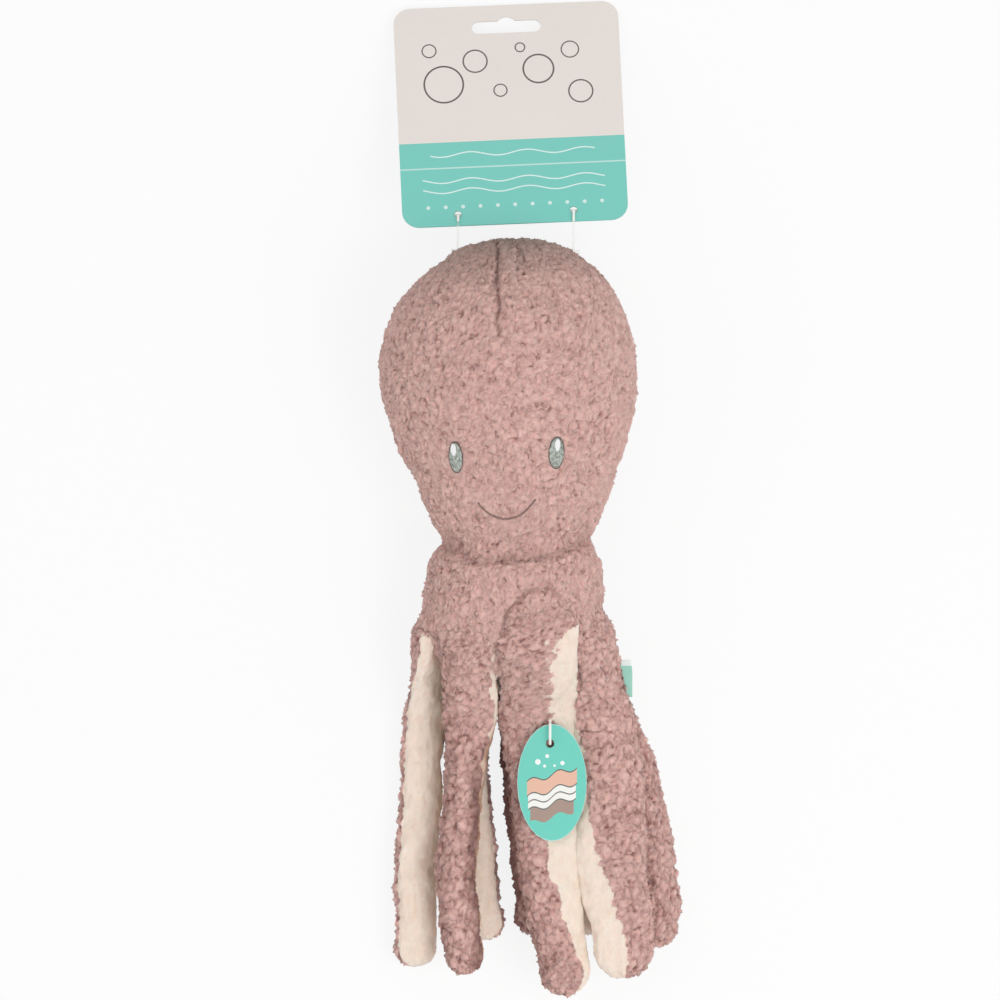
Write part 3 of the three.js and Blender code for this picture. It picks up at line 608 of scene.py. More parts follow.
def cream_nap(finish, at, fibre, colours):
    """Colour and relief of cream velour: short soft nap, streaked, flecked and shaded where it was brushed."""
    stretched = finish.node("ShaderNodeMapping", "Vector", Vector=at, Scale=(1, 0.45, 1))
    streak = finish.noise(stretched, 380, 3.0, 0.6)
    brushed = finish.noise(at, 70, 3.0, 0.6)
    fleck = finish.noise(at, 520, 1.0)
    cream = finish.mix((streak * 1.1 - 0.3).clamped(), colours.lining, cream_streak)
    cream = finish.mix((brushed * 1.1 - 0.4).clamped(), cream, brushed_cream)
    cream = finish.mix(((fleck - 0.62) * 3).clamped() * 0.35, cream, cream_fleck)
    return cream, fibre * 0.7 + streak * 0.9


def pile_finish(name, gloss):
    """A matt cloth of fibres, with its places and its finest fibres."""
    finish = Finish(name, Sheen_Roughness=gloss, **pile_light)
    at = finish.place()
    fibre = finish.noise(at, 2300, 3.0, 0.7)
    finish.rough(0.97 - fibre * 0.06)
    return finish, at, fibre


def plush_finish(name, colours, contrast):
    finish, at, fibre = pile_finish(name, 0.5)
    rose, relief = rose_pile(finish, at, fibre, colours, contrast)
    # Painted shade that greys the top of the head.
    finish.colour(finish.mix(finish.value("crown") * 0.55, rose, shaded_crown))
    finish.bump(relief, 0.5 * mm, 0.9)
    return finish.material


def tentacle_finish(name, colours, contrast):
    """Curly rose on one side and smooth cream on the other, whose edge the pile's fibres break."""
    finish, at, fibre = pile_finish(name, 0.45)
    rose, relief = rose_pile(finish, at, fibre, colours, contrast)
    cream, nap = cream_nap(finish, at, fibre, colours)
    # Painted shade on the cream side where the pile is marked as shaded.
    cream = finish.mix(((1 - finish.value("unshaded")) * 0.95).clamped(), cream, shaded_cream)
    fringe = finish.noise(at, 900, 3.0, 0.65)
    cover = ((finish.value("plush") - 0.5 + (fringe - 0.5) * 1.6) * 4 + 0.5).clamped()
    finish.colour(finish.mix(cover, cream, rose))
    finish.bump(relief * cover + nap * (1 - cover), 0.5 * mm, 0.9)
    return finish.material


def thread_finish(name, tint, gloss, grain, between=0.4, uneven=2.4):
    """Twisted embroidery thread: fine diagonal plies, with painted highlights on them and painted shade between them.
    """
    finish = Finish(name, Sheen_Weight=0.15, Specular_IOR_Level=0.4)
    at = finish.place()
    across, along, up = finish.split(at)
    ply = ((across + along * 1.7 + up) * grain).wave() * 0.5 + 0.5
    drawn_out = finish.node("ShaderNodeMapping", "Vector", Vector=at, Scale=(1, 0.3, 1))
    fleck = finish.noise(drawn_out, 1500, 2.0)
    # Painted shade between the plies and, in streaks, between the rows of stitches; the lighter parts are painted
    # highlight.
    dark = tuple(value * between for value in tint)
    finish.colour(finish.mix((ply * 0.35 + (fleck - 0.5) * uneven + 0.5).clamped(), dark, tint))
    finish.rough(gloss + fleck * 0.15)
    finish.bump(ply, 0.12 * mm, 0.6)
    return finish.material


def paper_finish(finish, at, print_colour, gloss):
    """Coated board under a print: faint fibres, and a coat that dulls in places."""
    fibre = finish.noise(at, 900, 4.0, 0.6)
    cloud = finish.noise(at, 35, 2.0)
    dull = finish.mix((fibre * 0.16 + cloud * 0.1 - 0.06).clamped(), print_colour, srgb(190, 186, 180))
    finish.colour(dull)
    finish.rough(gloss + cloud * 0.12)
    finish.bump(fibre, 0.05 * mm, 0.25)


# Generic print of the hang card, in mm from its centre: rings with their line's half width, dots, waves
# with their reach across, the printed band's edge and how far down the line across it lies
card_rings = [
    (-30, 16, 9, 0.4), (-15, 27, 5.5, 0.35), (-36, 33, 3.2, 0.3), (-4, 12, 3, 0.3),
    (14, 22, 7, 0.4), (29, 31, 4, 0.3), (33, 10, 5.5, 0.35), (6, 33, 2.2, 0.3),
]
card_dots = [(x, -45, 0.9) for x in range(-40, 41, 8)]
card_waves = [(-19, 38), (-32, 42), (-37, 42)]
card_band, card_line = -12.8, 25.6
card_angles = (math.radians(-21.6), 0, math.radians(3))

# Generic print of the tag, in mm from its centre: bands between two heights with their reach across,
# lines, and dots
tag_layers = [
    (3.5, -3, 11.5, srgb(231, 184, 160)), (-3.6, -9.6, 11, srgb(242, 242, 238)), (-10.2, -16, 10, srgb(165, 140, 128)),
]
tag_lines = [(3.6, 11.5), (-3.3, 11.5), (-6.6, 11), (-9.9, 11)]
tag_dots = [(-6.5, 9.5, 1.3), (-2.2, 12.2, 0.9), (-3.4, 7.6, 0.7), (4.8, 9, 1.0), (1.2, 7.8, 0.6)]

# Inks of both prints: dark lines, and pale lines, waves, dots and edge
ink = srgb(92, 84, 80)
pale_line = srgb(196, 232, 224)
pale_wave = srgb(226, 246, 240)
pale_dot = srgb(218, 242, 236)
tag_dot = srgb(244, 248, 246)
tag_edge = srgb(190, 232, 224)


class Print:
    """What is printed on a flat piece, layer over layer, in places from its centre and along its sides."""

    def __init__(self, name, corners, angles, shine, ground):
        self.finish = Finish(name, Specular_IOR_Level=shine)
        self.at = self.finish.place()
        low, high = corners
        self.half = (high - low) / 2
        self.across, self.along, _ = self.finish.split(self.finish.turned(self.at, (low + high) / 2, angles))
        self.paint = ground

    def cover(self, share, tint):
        self.paint = self.finish.mix(share, self.paint, tint)

    def spots(self, rows, tint):
        """Dots, or rings where a row ends in a line's half width."""
        for x, y, radius, *line in rows:
            gap = ((self.across - x * mm) ** 2 + (self.along - y * mm) ** 2) ** 0.5
            if line:
                self.cover((gap - radius * mm).size().below(line[0] * mm), tint)
            else:
                self.cover(gap.below(radius * mm), tint)

    def within(self, reach):
        return self.across.size().below(reach * mm)

    def done(self, gloss):
        paper_finish(self.finish, self.at, self.paint, gloss)
        return self.finish.material


def card_finish(name, colours):
    card = Print(name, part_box("hang_card"), card_angles, 0.4, colours.card)
    card.cover(card.along.below(card_band * mm), colours.band)
    card.cover((card.along + card_line * mm).size().below(0.35 * mm), pale_line)
    card.spots(card_rings, ink)
    card.spots(card_dots, pale_dot)
    for y, reach in card_waves:
        curve = card.along - y * mm - (card.across * 240).wave() * 1.1 * mm
        card.cover(curve.size().below(0.3 * mm) * card.within(reach), pale_wave)
    return card.done(0.42)


def tag_finish(name, colours):
    tag = Print(name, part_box("swing_tag"), (0, 0, 0), 0.45, colours.tag)
    ripple = (tag.across * 520).wave() * 1.3 * mm
    level = tag.along - tag.across * 0.3 - ripple
    for top, bottom, reach, tint in tag_layers:
        tag.cover(level.below(top * mm) * level.above(bottom * mm) * tag.within(reach), tint)
    for top, reach in tag_lines:
        tag.cover((level - top * mm).size().below(0.28 * mm) * tag.within(reach), ink)
    tag.spots(tag_dots, tag_dot)
    from_centre = ((tag.across / tag.half.x) ** 2 + (tag.along / tag.half.y) ** 2) ** 0.5
    tag.cover(from_centre.above(0.985), tag_edge)
    return tag.done(0.35)


# How much of the light a clear tie's thread stops
clear_alpha = 0.16


def plastic_finish(name, tint, knots=None):
    """Smooth plastic. A tie is clear along its thread and milky at its knots, above a line across the toy."""
    finish = Finish(name, IOR=1.5)
    at = finish.place()
    cloud = finish.noise(at, 700, 2.0)
    finish.colour(finish.mix((cloud * 0.3).clamped(), tint, tuple(v * 0.8 for v in tint)))
    finish.rough(0.25 + cloud * 0.2)
    finish.bump(cloud, 0.03 * mm, 0.3)
    if knots is not None:
        _, along, _ = finish.split(at)
        finish.feed(finish.shader.inputs["Alpha"], along.above(knots) * (1 - clear_alpha) + clear_alpha)
    return finish.material


# Height along the toy above which the label is bare at its edge, and the colours there and of its shade
label_edge = -136.2 * mm
bare_weave, weave_shade = srgb(240, 244, 242), srgb(120, 160, 150)


def woven_finish(name, tint):
    finish = Finish(name, Sheen_Weight=0.15)
    at = finish.place()
    across, along, up = finish.split(at)
    weave = (along * 9000).wave() * ((across + up) * 9000).wave() * 0.5 + 0.5
    base = finish.mix(along.above(label_edge), tint, bare_weave)
    finish.colour(finish.mix(weave * 0.25, base, weave_shade))
    finish.rough(0.6 + weave * 0.2)
    finish.bump(weave, 0.08 * mm, 0.6)
    return finish.material


# Head and skirt skin


def body_section(y):
    """Left, right, back and front of the body's outline at places along it, in metres."""
    table = np.array(body_rows[::-1], float) * mm
    return [through(table[:, 0], table[:, column], y) for column in range(1, 5)]


def crease_place(x):
    places = np.array(crease_places, float) * mm
    return through(places[:, 0], places[:, 1], x)


# Where the skin of the head and skirt has rings: up the crown, as shares of a quarter turn, and from there
# down past the neck to the hem, in mm. How many points each ring has, and each of a tentacle and the base
crown_turns = np.linspace(0.94, 0, 26)[:-1]
below_crown = np.concatenate([
    np.linspace(0, -72, 28)[:-1], np.linspace(-72, -92, 11)[:-1], np.linspace(-92, -124, 13), [-124.9],
])
points_round_body, points_round_limb, points_round_base = 112, 24, 48


def sew_body(sizes):
    """Closed skin of the head and the skirt, blown up between its crease, dart, hem and the floor."""
    rows = np.concatenate([crown_point[1] * np.sin(crown_turns * quarter), below_crown * mm])
    turn = whole_turn(points_round_body)
    left, right, back, front = (edge[:, None] for edge in body_section(rows))
    x = (left + right) / 2 + (right - left) / 2 * np.cos(turn)
    z = (back + front) / 2 + (front - back) / 2 * np.sin(turn)
    y = np.repeat(rows[:, None], len(turn), 1)
    skin = loft("head_and_skirt_skin", np.stack([x, y, z], -1), np.array([crown_point, hem_point]))
    x, y, z = coordinates(skin).T
    crease = np.abs(y - crease_place(x)) < 2.5 * mm
    dart = (np.abs(x - dart_place) < 2 * mm) & (z > 50 * mm) & (y > 15 * mm)
    stuff(skin, crease | dart | (z < 1.5 * mm) | (y < -121 * mm), sizes.slack, sizes.swell, crown_point)
    refine(skin, 2)
    return skin


def gather_body(skin, sizes):
    """Draws the cloth in at its seams, at the neck and round the front tentacle, and returns the share out of painted
    shade.
    """
    places, outward = coordinates(skin), normals(skin)
    x, y, z = places.T
    faces_up = smoothstep(outward[:, 2], -0.1, 0.35)
    neck = beside(y - crease_place(x), sizes.crease_width) * faces_up
    wander = soft_noise(places, 6 * mm, 3)[:, 0] * 0.9 * mm
    dart = beside(x - dart_place + wander, 0.6 * sizes.seam_width) * smoothstep(y, 14 * mm, 20 * mm) * faces_up
    side_seam = beside(z - crown_point[2], sizes.seam_width) * smoothstep(y, -74 * mm, -66 * mm)
    side_seam *= 1 - smoothstep(np.abs(outward[:, 2]), 0.25, 0.5)
    across = (x - arch_middle[0]) / np.where(x < arch_middle[0], *arch_wide)
    along = np.clip(y - arch_middle[1], 0, None) / arch_high
    from_arch = ((np.abs(across) ** arch_bend + along**arch_bend) ** (1 / arch_bend) - 1) * arch_high
    from_arch += soft_noise(places, 9 * mm, 5)[:, 0] * 2 * mm
    in_front = smoothstep(outward[:, 2], 0.1, 0.5) * smoothstep(z, 40 * mm, 46 * mm)
    faded = 1 - 0.75 * smoothstep(x, 8 * mm, 14 * mm) * (1 - smoothstep(x, 27 * mm, 30 * mm))
    arch = beside(from_arch, sizes.seam_width) * in_front * faded
    under = (1 - smoothstep(from_arch, -1.5 * mm, 0.5 * mm)) * in_front
    depth = sizes.crease_depth * neck + 1.5 * sizes.seam_depth * dart + sizes.seam_depth * side_seam
    depth += 0.75 * sizes.crease_depth * arch + sizes.crease_depth * under
    places = places - outward * depth[:, None]
    for spot, lift in hem_lifts:
        close = beside(x - spot * mm, 4 * mm) * smoothstep(-y, 108 * mm, 123 * mm)
        places[:, 1] += lift * mm * close * smoothstep(z, 30 * mm, 38 * mm)
    place(skin, places)
    broken = 0.5 + 0.5 * soft_noise(places, 7 * mm, 4)[:, 1]
    # Painted shade in the dart, along the arch over the front tentacle and in the neck's crease.
    return 1 - np.clip(dart * (0.2 + 0.6 * broken) + arch * (0.35 + 0.6 * broken) + neck * 0.4 * broken, 0, 1)


def cropped_pile(x, y, z):
    """How high the pile may stand: low under the eyes' stitches and along the smile."""
    high = np.ones(len(x))
    on_face = z > 50 * mm
    for eye in eyes:
        gap = np.hypot((x - eye["x"]) / (eye["width"] / 2 + 1.2 * mm), (y - eye["y"]) / (eye["length"] / 2 + 1.2 * mm))
        high = np.minimum(high, np.where(on_face, 0.12 + 0.88 * smoothstep(gap, 0.85, 1.5), 1))
    by_smile = 0.35 + 0.65 * smoothstep(smile_gap(x, y), 0.5 * mm, 2.2 * mm)
    return np.minimum(high, np.where(on_face, by_smile, 1))


# Stitched face: places and sizes as the photograph shows them
eyes = [
    {"name": "eye_left", "x": -23.8 * mm, "y": -40.3 * mm, "width": 6.6 * mm, "length": 15.0 * mm, "lean": -0.07,
     "glint": (-0.9 * mm, 3.5 * mm)},
    {"name": "eye_right", "x": 22.3 * mm, "y": -38.2 * mm, "width": 7.5 * mm, "length": 15.4 * mm, "lean": 0.05,
     "glint": (0.3 * mm, 3.6 * mm)},
]
smile_places = [
    (-13.5, -61.2), (-11.8, -63.4), (-8.2, -66.2), (-4.0, -68.0), (-0.3, -68.5), (5.6, -66.8), (9.4, -63.6),
    (12.6, -59.6),
]


def smile_gap(x, y):
    """Distance of places from the line of the smile, seen from the front."""
    gaps = np.full(len(x), 1.0)
    for spot in smile_line(60):
        gaps = np.minimum(gaps, np.hypot(x - spot[0], y - spot[1]))
    return gaps


def smile_line(count):
    places = np.array(smile_places, float) * mm
    walked = np.concatenate([[0], np.cumsum(np.linalg.norm(np.diff(places, axis=0), axis=1))])
    at = np.linspace(0, walked[-1], count)
    return np.stack([through(walked, places[:, 0], at), through(walked, places[:, 1], at)], -1)


def paint(piece, *materials):
    piece.data.materials.clear()
    for material in materials:
        piece.data.materials.append(material)


class OCTOPUS_OT_body(bpy.types.Operator):
    """Sew the curly skin of the head and the skirt, creased at the neck"""

    bl_idname = "octopus.body"
    bl_label = "Head and skirt"

    def execute(self, context):
        sizes, colours = context.scene.octopus_sizes, context.scene.octopus_colours
        skin = sew_body(sizes)
        high = cropped_pile(*coordinates(skin).T)
        unshaded_share = gather_body(skin, sizes)
        from_pole = np.linalg.norm(coordinates(skin) - crown_point, axis=1)
        raise_pile(skin, high, unshaded_share, sizes, body_seed, settled=smoothstep(from_pole, 1 * mm, 4 * mm))
        x, y, _ = coordinates(skin).T
        # Share of painted shade that greys the crown, rising toward the top of the head.
        store(skin, "crown", smoothstep(y - x * 0.12, 34 * mm, 62 * mm))
        paint(skin, plush_finish("rose_fleece_body", colours, body_contrast))
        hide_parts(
            "head_front_panel", "head_back_panel", "skirt_front_panel", "skirt_back_panel",
            "head_filling_front", "head_filling_back", "skirt_filling",
        )
        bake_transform(skin)
        return {"FINISHED"}


# Tentacles. Each row of the table first repeats the frame's own: the place, facing and width of its
# root, its length and width as shares of the driving sizes, its layer, the way its flat side faces
# where it lies and its roll, in degrees, and its middle in pitches across.
# Then comes what the photograph adds, in mm, as one length or as a table of lengths by shares of the
# way down: where its shoulder starts (top), how far its root rises, flares and leans, how round its
# shoulder is (bow, a share), how far it sways, how much wider it is to the left and right, how far
# each edge of the cream side is moved, how far above the root plane the cream side starts (bare), and
# how much painted shade darkens its left and right flanks (dim, shares).
limb_length = 165 * mm
limb_width = 23 * mm
limb_thickness = 15 * mm
limb_pitch = 23.8 * mm
neck_shift = 4 * mm
root_plane = -124.3 * mm
lay_share = 0.3
taper_share = 0.42
path_stops = [0, 0.3, 0.48, 0.75, 0.93, 1]
swell_stops = [0, 0.06, 0.12, 0.18, 0.24, 0.3, 0.45, 0.6, 0.78, 1]
swell_shares = [0.96, 0.95, 0.94, 0.93, 0.93, 0.94, 0.98, 1, 1, 0.97]
floor_gap = 0.3 * mm
lay_gap = 0.8 * mm

# How much of the body's slack and swell a tentacle's cloth has, and how full and lumpy its pile is
limb_softness = 0.7
limb_fullness, limb_lumpiness = 1.15, 0.5

# The part of a tentacle that its root shapes, as a share of its length, how far its shoulder sinks into
# the skirt, and the shares of its rounded tip at which it has rings
root_part = 0.14
shoulder_sink = 5 * mm
tip_rings = np.array([0.2, 0.4, 0.58, 0.74, 0.88])

limbs = [
    dict(name="front", root=(12.928, 52.267), facing=83.105, root_share=1.5, length=1, width=1.2, over=True,
         face=92, roll=66, path=[0.36, 0.46, 0.65, 0.79, 0.85], top=-100.5, rise=2.6, flare=1.5, bow=0.8,
         sway=[(-0.16, 6), (-0.08, 2.5), (0, 0)], lean=-0.6, bare=13, dim=(0.4, 0),
         wider=([(-0.14, 0), (-0.04, 3), (0.05, 2.2), (0.12, 1.4), (0.21, 3.6), (0.28, 3), (0.45, 1), (0.8, 0),
                 (0.95, -2), (1.05, -2)],
                [(0, 3.2), (0.1, 4.2), (0.18, 5.6), (0.32, 6.6), (0.5, 4.6), (0.7, 3), (0.85, 1.5)]),
         near_edge=[(-0.07, 4), (-0.055, -2), (-0.03, -6), (0, -6.9), (0.04, -6.9), (0.08, -6.4), (0.11, -5.6),
                    (0.15, -4.4), (0.2, -2.6), (0.27, 1), (0.3, 1.5), (0.62, -2.1), (0.71, -2.4),
                    (0.87, 0), (1.03, 4)]),
    dict(name="front_right", root=(41.969, 39.091), facing=37.889, root_share=1.25, length=0.95, width=1.3,
         over=True, face=84, roll=-68, path=[1.82, 1.9, 1.95, 2.06, 2.08], top=-108, flare=0.8, lean=-1.0,
         wider=([(0, 3.4), (0.12, 4.8), (0.35, 5.4), (0.6, 5.2), (0.8, 4.2), (1, 1)],
                [(-0.1, -3), (0, -1), (0.1, -1), (0.5, -1), (0.7, 0)]), dim=(0, 0), rise=0.6,
         far_edge=[(0, 5.1), (0.12, 5.1), (0.2, 4.4), (0.32, 3.9), (0.42, 3.6), (0.51, 3.2), (0.64, 2.2), (0.77, -0.2),
                   (0.9, -1.8), (1.03, -3.6)]),
    dict(name="right", root=(36.942, 16.759), facing=-54.1, root_share=0.9, length=0.865, width=1, over=False,
         face=78, roll=-12, path=[2.02, 2.34, 2.63, 2.76, 2.72], top=-114),
    dict(name="back_right", root=(17.088, 8.963), facing=-79.656, root_share=0.85, length=0.83, width=0.92,
         over=False, face=275, roll=0, path=[1.0, 1.08, 1.22, 1.31, 1.34], top=-114),
    dict(name="back", root=(-3.87, 8.213), facing=-96.053, root_share=0.85, length=0.83, width=0.88, over=False,
         face=265, roll=-60, path=[0, 0.1, 0.26, 0.34, 0.33], top=-114, dim=(0.95, 0.8)),
    dict(name="back_left", root=(-23.866, 13.711), facing=-116.558, root_share=0.85, length=0.845, width=0.92,
         over=False, face=275, roll=20, path=[-0.94, -0.92, -0.8, -0.7, -0.6], top=-114,
         dim=(0.3, 0.3)),
    dict(name="left", root=(-37.222, 31.085), facing=176.337, root_share=1.05, length=0.92, width=0.9, over=False,
         face=252, roll=-24, path=[-1.84, -1.92, -2.06, -2.05, -2.08], top=-112,
         wider=(0, 1.5), rise=0.6, near_edge=[(0, -4), (0.08, -3.6), (0.2, -2), (0.35, 0)],
         far_edge=[(0, -1), (0.06, 0.5), (0.15, 2.4), (0.3, 3.4), (0.4, 3.2), (0.48, -1.5), (0.55, -5), (0.65, -6.2)],
         sway=[(0.4, 0), (0.6, 1.6), (1.05, 1.6)]),
    dict(name="front_left", root=(-18.766, 49.062), facing=109.852, root_share=1.2, length=0.94, width=0.92,
         over=True, face=92, roll=4, path=[-1.0, -1.04, -1.16, -1.08, -1.02], top=-106, rise=0.8, flare=1.8,
         lean=0.5, dim=(0.45, 1),
         wider=(0, [(0, 0), (0.08, 1.5), (0.15, 3.8), (0.23, 5.2), (0.29, 4.2), (0.36, 2.2), (0.5, 0)]),
         near_edge=[(0, 0), (0.06, -3), (0.15, -4), (0.4, -4), (0.6, -2), (0.8, 0)]),
]


def lying_rise(limb):
    turn = math.radians(limb["face"])
    return math.hypot(limb["width"] * limb_width / 2 * math.cos(turn), limb_thickness / 2 * math.sin(turn))


def layer_floor(over):
    if not over:
        return floor_gap
    return floor_gap + max(2 * lying_rise(limb) for limb in limbs if not limb["over"]) + lay_gap


def limb_section(limb, share):
    """Centre, facing, roll and half sizes of a tentacle's sections at shares of its length."""
    ease = smoothstep(share, 0, lay_share)
    facing = math.radians(limb["facing"])
    turned = math.radians(limb["face"]) - facing
    nearest = turned - 2 * math.pi * round(turned / (2 * math.pi))
    swell = through(swell_stops, swell_shares, np.clip(share, 0, 1))
    taper = smoothstep(share, 0, taper_share)
    width = limb["root_share"] + (limb["width"] - limb["root_share"]) * taper
    body_length = limb["length"] * limb_length - limb["width"] * limb_width / 2
    places = [limb["root"][0] * mm, *(neck_shift + p * limb_pitch for p in limb["path"])]
    lying = layer_floor(limb["over"]) + lying_rise(limb)
    root_height = limb["root"][1] * mm
    return {
        "x": through(path_stops, places, np.clip(share, 0, 1)),
        "y": root_plane - share * body_length,
        "z": root_height + (lying - root_height) * ease,
        "face": facing + nearest * ease,
        "roll": math.radians(limb["roll"]) * ease,
        "half_width": width * limb_width * swell / 2,
        "half_thickness": limb_thickness * swell / 2,
    }


def along_limb(value, shares):
    """One length for a whole tentacle, or a table of them by shares of its length, in metres."""
    if isinstance(value, (int, float)):
        return np.full(len(shares), value * mm)
    stops, lengths = np.array(value, float).T
    return np.interp(shares, stops, lengths) * mm


def limb_rings(limb, count):
    """Rings of points down a tentacle, from its shoulder in the skirt to its rounded tip."""
    tip_length = limb["width"] * limb_width / 2
    body_length = limb["length"] * limb_length - tip_length
    top = (root_plane - limb["top"] * mm) / body_length
    shares = np.concatenate([
        np.linspace(top, 0, 9)[:-1], np.linspace(0, 1, int(body_length / (3.0 * mm))),
    ])
    section = limb_section(limb, shares)
    section = {key: np.broadcast_to(values, shares.shape).copy() for key, values in section.items()}
    bow = limb.get("bow", 0.5)
    shoulder = np.clip(1 - (shares / (top * 1.04)) ** 2, 0, 1) ** bow * (shares < 0) + (shares >= 0)
    near_root = 1 - smoothstep(shares, 0, root_part)
    inward = (1 - shoulder) * shoulder_sink - limb.get("rise", -1.0) * mm * near_root
    section["half_width"] += limb.get("flare", 0) * mm * near_root
    section["x"] += limb.get("lean", 0) * mm * near_root
    section["half_width"] *= 0.25 + 0.75 * shoulder
    section["half_thickness"] *= 0.4 + 0.6 * shoulder
    section["x"] -= np.cos(section["face"]) * inward
    section["z"] -= np.sin(section["face"]) * inward
    tip = {key: np.repeat(values[-1:], len(tip_rings)) for key, values in section.items()}
    reached, left_over = np.sin(tip_rings * quarter), np.cos(tip_rings * quarter)
    tip["y"] = tip["y"] - tip_length * reached
    tip["half_width"] = tip["half_width"] * left_over
    tip["half_thickness"] = tip["half_thickness"] * left_over
    section = {key: np.concatenate([values, tip[key]])[:, None] for key, values in section.items()}
    turn = whole_turn(count)
    angle = section["roll"] + turn
    reach = section["half_width"] * np.cos(angle)
    rise = section["half_thickness"] * np.sin(angle)
    x = section["x"] + np.sin(section["face"]) * reach + np.cos(section["face"]) * rise
    z = section["z"] - np.cos(section["face"]) * reach + np.sin(section["face"]) * rise
    rings = np.stack([x, np.repeat(section["y"], count, 1), z], -1)
    end = rings[-1].mean(0)
    end[1] = section["y"][-1, 0] - tip_length * (1 - reached[-1])
    shares = np.concatenate([shares, 1 + reached * tip_length / body_length])
    wide = [along_limb(value, shares)[:, None] for value in limb.get("wider", (0, 0))]
    offset = rings[:, :, 0] - section["x"]
    half = np.abs(offset).max(1, keepdims=True)
    rings[:, :, 0] += offset / half * np.where(offset < 0, *wide)
    rings[:, :, 0] += along_limb(limb.get("sway", 0), shares)[:, None]
    marks = {
        "side": np.repeat(np.sin(turn)[None], len(rings), 0), "edge": np.repeat(np.cos(turn)[None], len(rings), 0),
        "down": np.repeat(shares[:, None], count, 1),
    }
    return rings, np.array([rings[0].mean(0), end]), marks


def make_limb(limb, sizes, seed):
    rings, ends, marks = limb_rings(limb, points_round_limb)
    skin = loft(f"tentacle_{limb['name']}_skin", rings, ends, **marks)
    near_seam = np.abs(fetch(skin, "side")) < 0.1
    places = coordinates(skin)
    held = near_seam | (places[:, 1] > root_plane - 2 * mm) | (places[:, 2] < 0.8 * mm)
    stuff(skin, held, sizes.slack * limb_softness, sizes.swell * limb_softness, ends[1])
    refine(skin, 2)
    from_seam = fetch(skin, "side") * limb_thickness / 2
    places, outward = coordinates(skin), normals(skin)
    bare_top = root_plane + limb.get("bare", 6) * mm
    bare = smoothstep(-places[:, 1], -bare_top, -bare_top + 8 * mm)
    depth = sizes.seam_depth * 0.5 * beside(from_seam, sizes.seam_width) * bare
    if limb["name"] == "front_right":
        by_label = np.exp(-(((places[:, 1] - label_middle) / (9 * mm)) ** 4)) * smoothstep(outward[:, 0], 0.2, 0.7)
        depth += label_seat * by_label
    place(skin, places - outward * depth[:, None])
    ragged = soft_noise(places, 3.5 * mm, seed + 9)[:, 0] * 0.9 * mm
    ragged += soft_noise(places, 1.3 * mm, seed + 8)[:, 0] * 0.5 * mm
    down, one_edge = fetch(skin, "down"), smoothstep(fetch(skin, "edge"), -0.2, 0.2)
    shift = along_limb(limb.get("near_edge", 0), down) * one_edge
    shift += along_limb(limb.get("far_edge", 0), down) * (1 - one_edge)
    plush = np.maximum(smoothstep(from_seam + shift + ragged, -0.5 * mm, 0.5 * mm), 1 - bare)
    # Painted shade on the flanks that face into the gaps between tentacles, fading in below the skirt.
    dim = limb.get("dim", (0, 0))
    shadow = dim[0] * smoothstep(-outward[:, 0], 0.1, 0.9) + dim[1] * smoothstep(outward[:, 0], 0.1, 0.9)
    shadow *= smoothstep(-places[:, 1], 118 * mm, 140 * mm)
    settled = smoothstep(np.linalg.norm(places - ends[1], axis=1), 0.5 * mm, 3.5 * mm)
    raise_pile(skin, plush, 1 - shadow, sizes, seed, limb_fullness, limb_lumpiness, settled)
    return skin


class OCTOPUS_OT_tentacles(bpy.types.Operator):
    """Sew the eight tentacles, curly outside and smooth inside"""

    bl_idname = "octopus.tentacles"
    bl_label = "Tentacles"

    def execute(self, context):
        sizes, colours = context.scene.octopus_sizes, context.scene.octopus_colours
        cloth = tentacle_finish("rose_and_cream_cloth", colours, limb_contrast)
        for number, limb in enumerate(limbs):
            skin = make_limb(limb, sizes, limb_seed + seed_step * number)
            paint(skin, cloth)
            name = f"tentacle_{limb['name']}"
            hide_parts(f"{name}_plush", f"{name}_lining", f"{name}_filling")
            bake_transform(skin)
        return {"FINISHED"}


# How far the base sags, its size as a share of its solid's, and its rings as shares of a quarter turn
base_sag = 22 * mm
base_reach = 0.94
base_rings = np.linspace(0, 0.96, 12)


class OCTOPUS_OT_base(bpy.types.Operator):
    """Sew the cloth that closes the skirt between the tentacles"""

    bl_idname = "octopus.base"
    bl_label = "Base"

    def execute(self, context):
        sizes, colours = context.scene.octopus_sizes, context.scene.octopus_colours
        low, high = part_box("base_panel")
        middle, half = (low + high) / 2, (high - low) / 2
        turn = whole_turn(points_round_base)
        shares = np.cos(base_rings * quarter)[:, None]
        x = middle.x + half.x * base_reach * shares * np.cos(turn)
        z = middle.z + half.z * base_reach * shares * np.sin(turn)
        y = np.repeat((high.y - base_sag * np.sin(base_rings * quarter))[:, None], len(turn), 1)
        ends = np.array([[middle.x, high.y, middle.z], [middle.x, high.y - base_sag, middle.z]])
        panel = loft("base_cloth", np.stack([x, y, z], -1), ends)
        refine(panel, 2)
        whole = np.ones(len(panel.data.vertices))
        raise_pile(panel, whole, whole, sizes, base_seed)
        paint(panel, plush_finish("rose_fleece_base", colours, limb_contrast))
        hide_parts("base_panel")
        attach(panel, "skirt")
        return {"FINISHED"}


# Side label: the ends of its line in the seam, how far it stands out and is sewn in, half its fold's
# height, its cloth's thickness, its droop, how far it curls, how deep the pile lies flat beside it, and
# its fold in places out of the seam and shares of the fold's half height
label_ends = (-133.3 * mm, -150.8 * mm)
label_middle = sum(label_ends) / 2
label_reach = 5.2 * mm
label_half = 0.42 * mm
label_cloth = 0.3 * mm
label_droop = math.radians(20)
label_curl = 0.5 * mm
label_seat = 1.4 * mm
label_fold = [(-1.5, 1), (1.2, 1.1), (2.7, 1), (4.1, 1.15), (4.9, 0.9), (5.2, 0)]


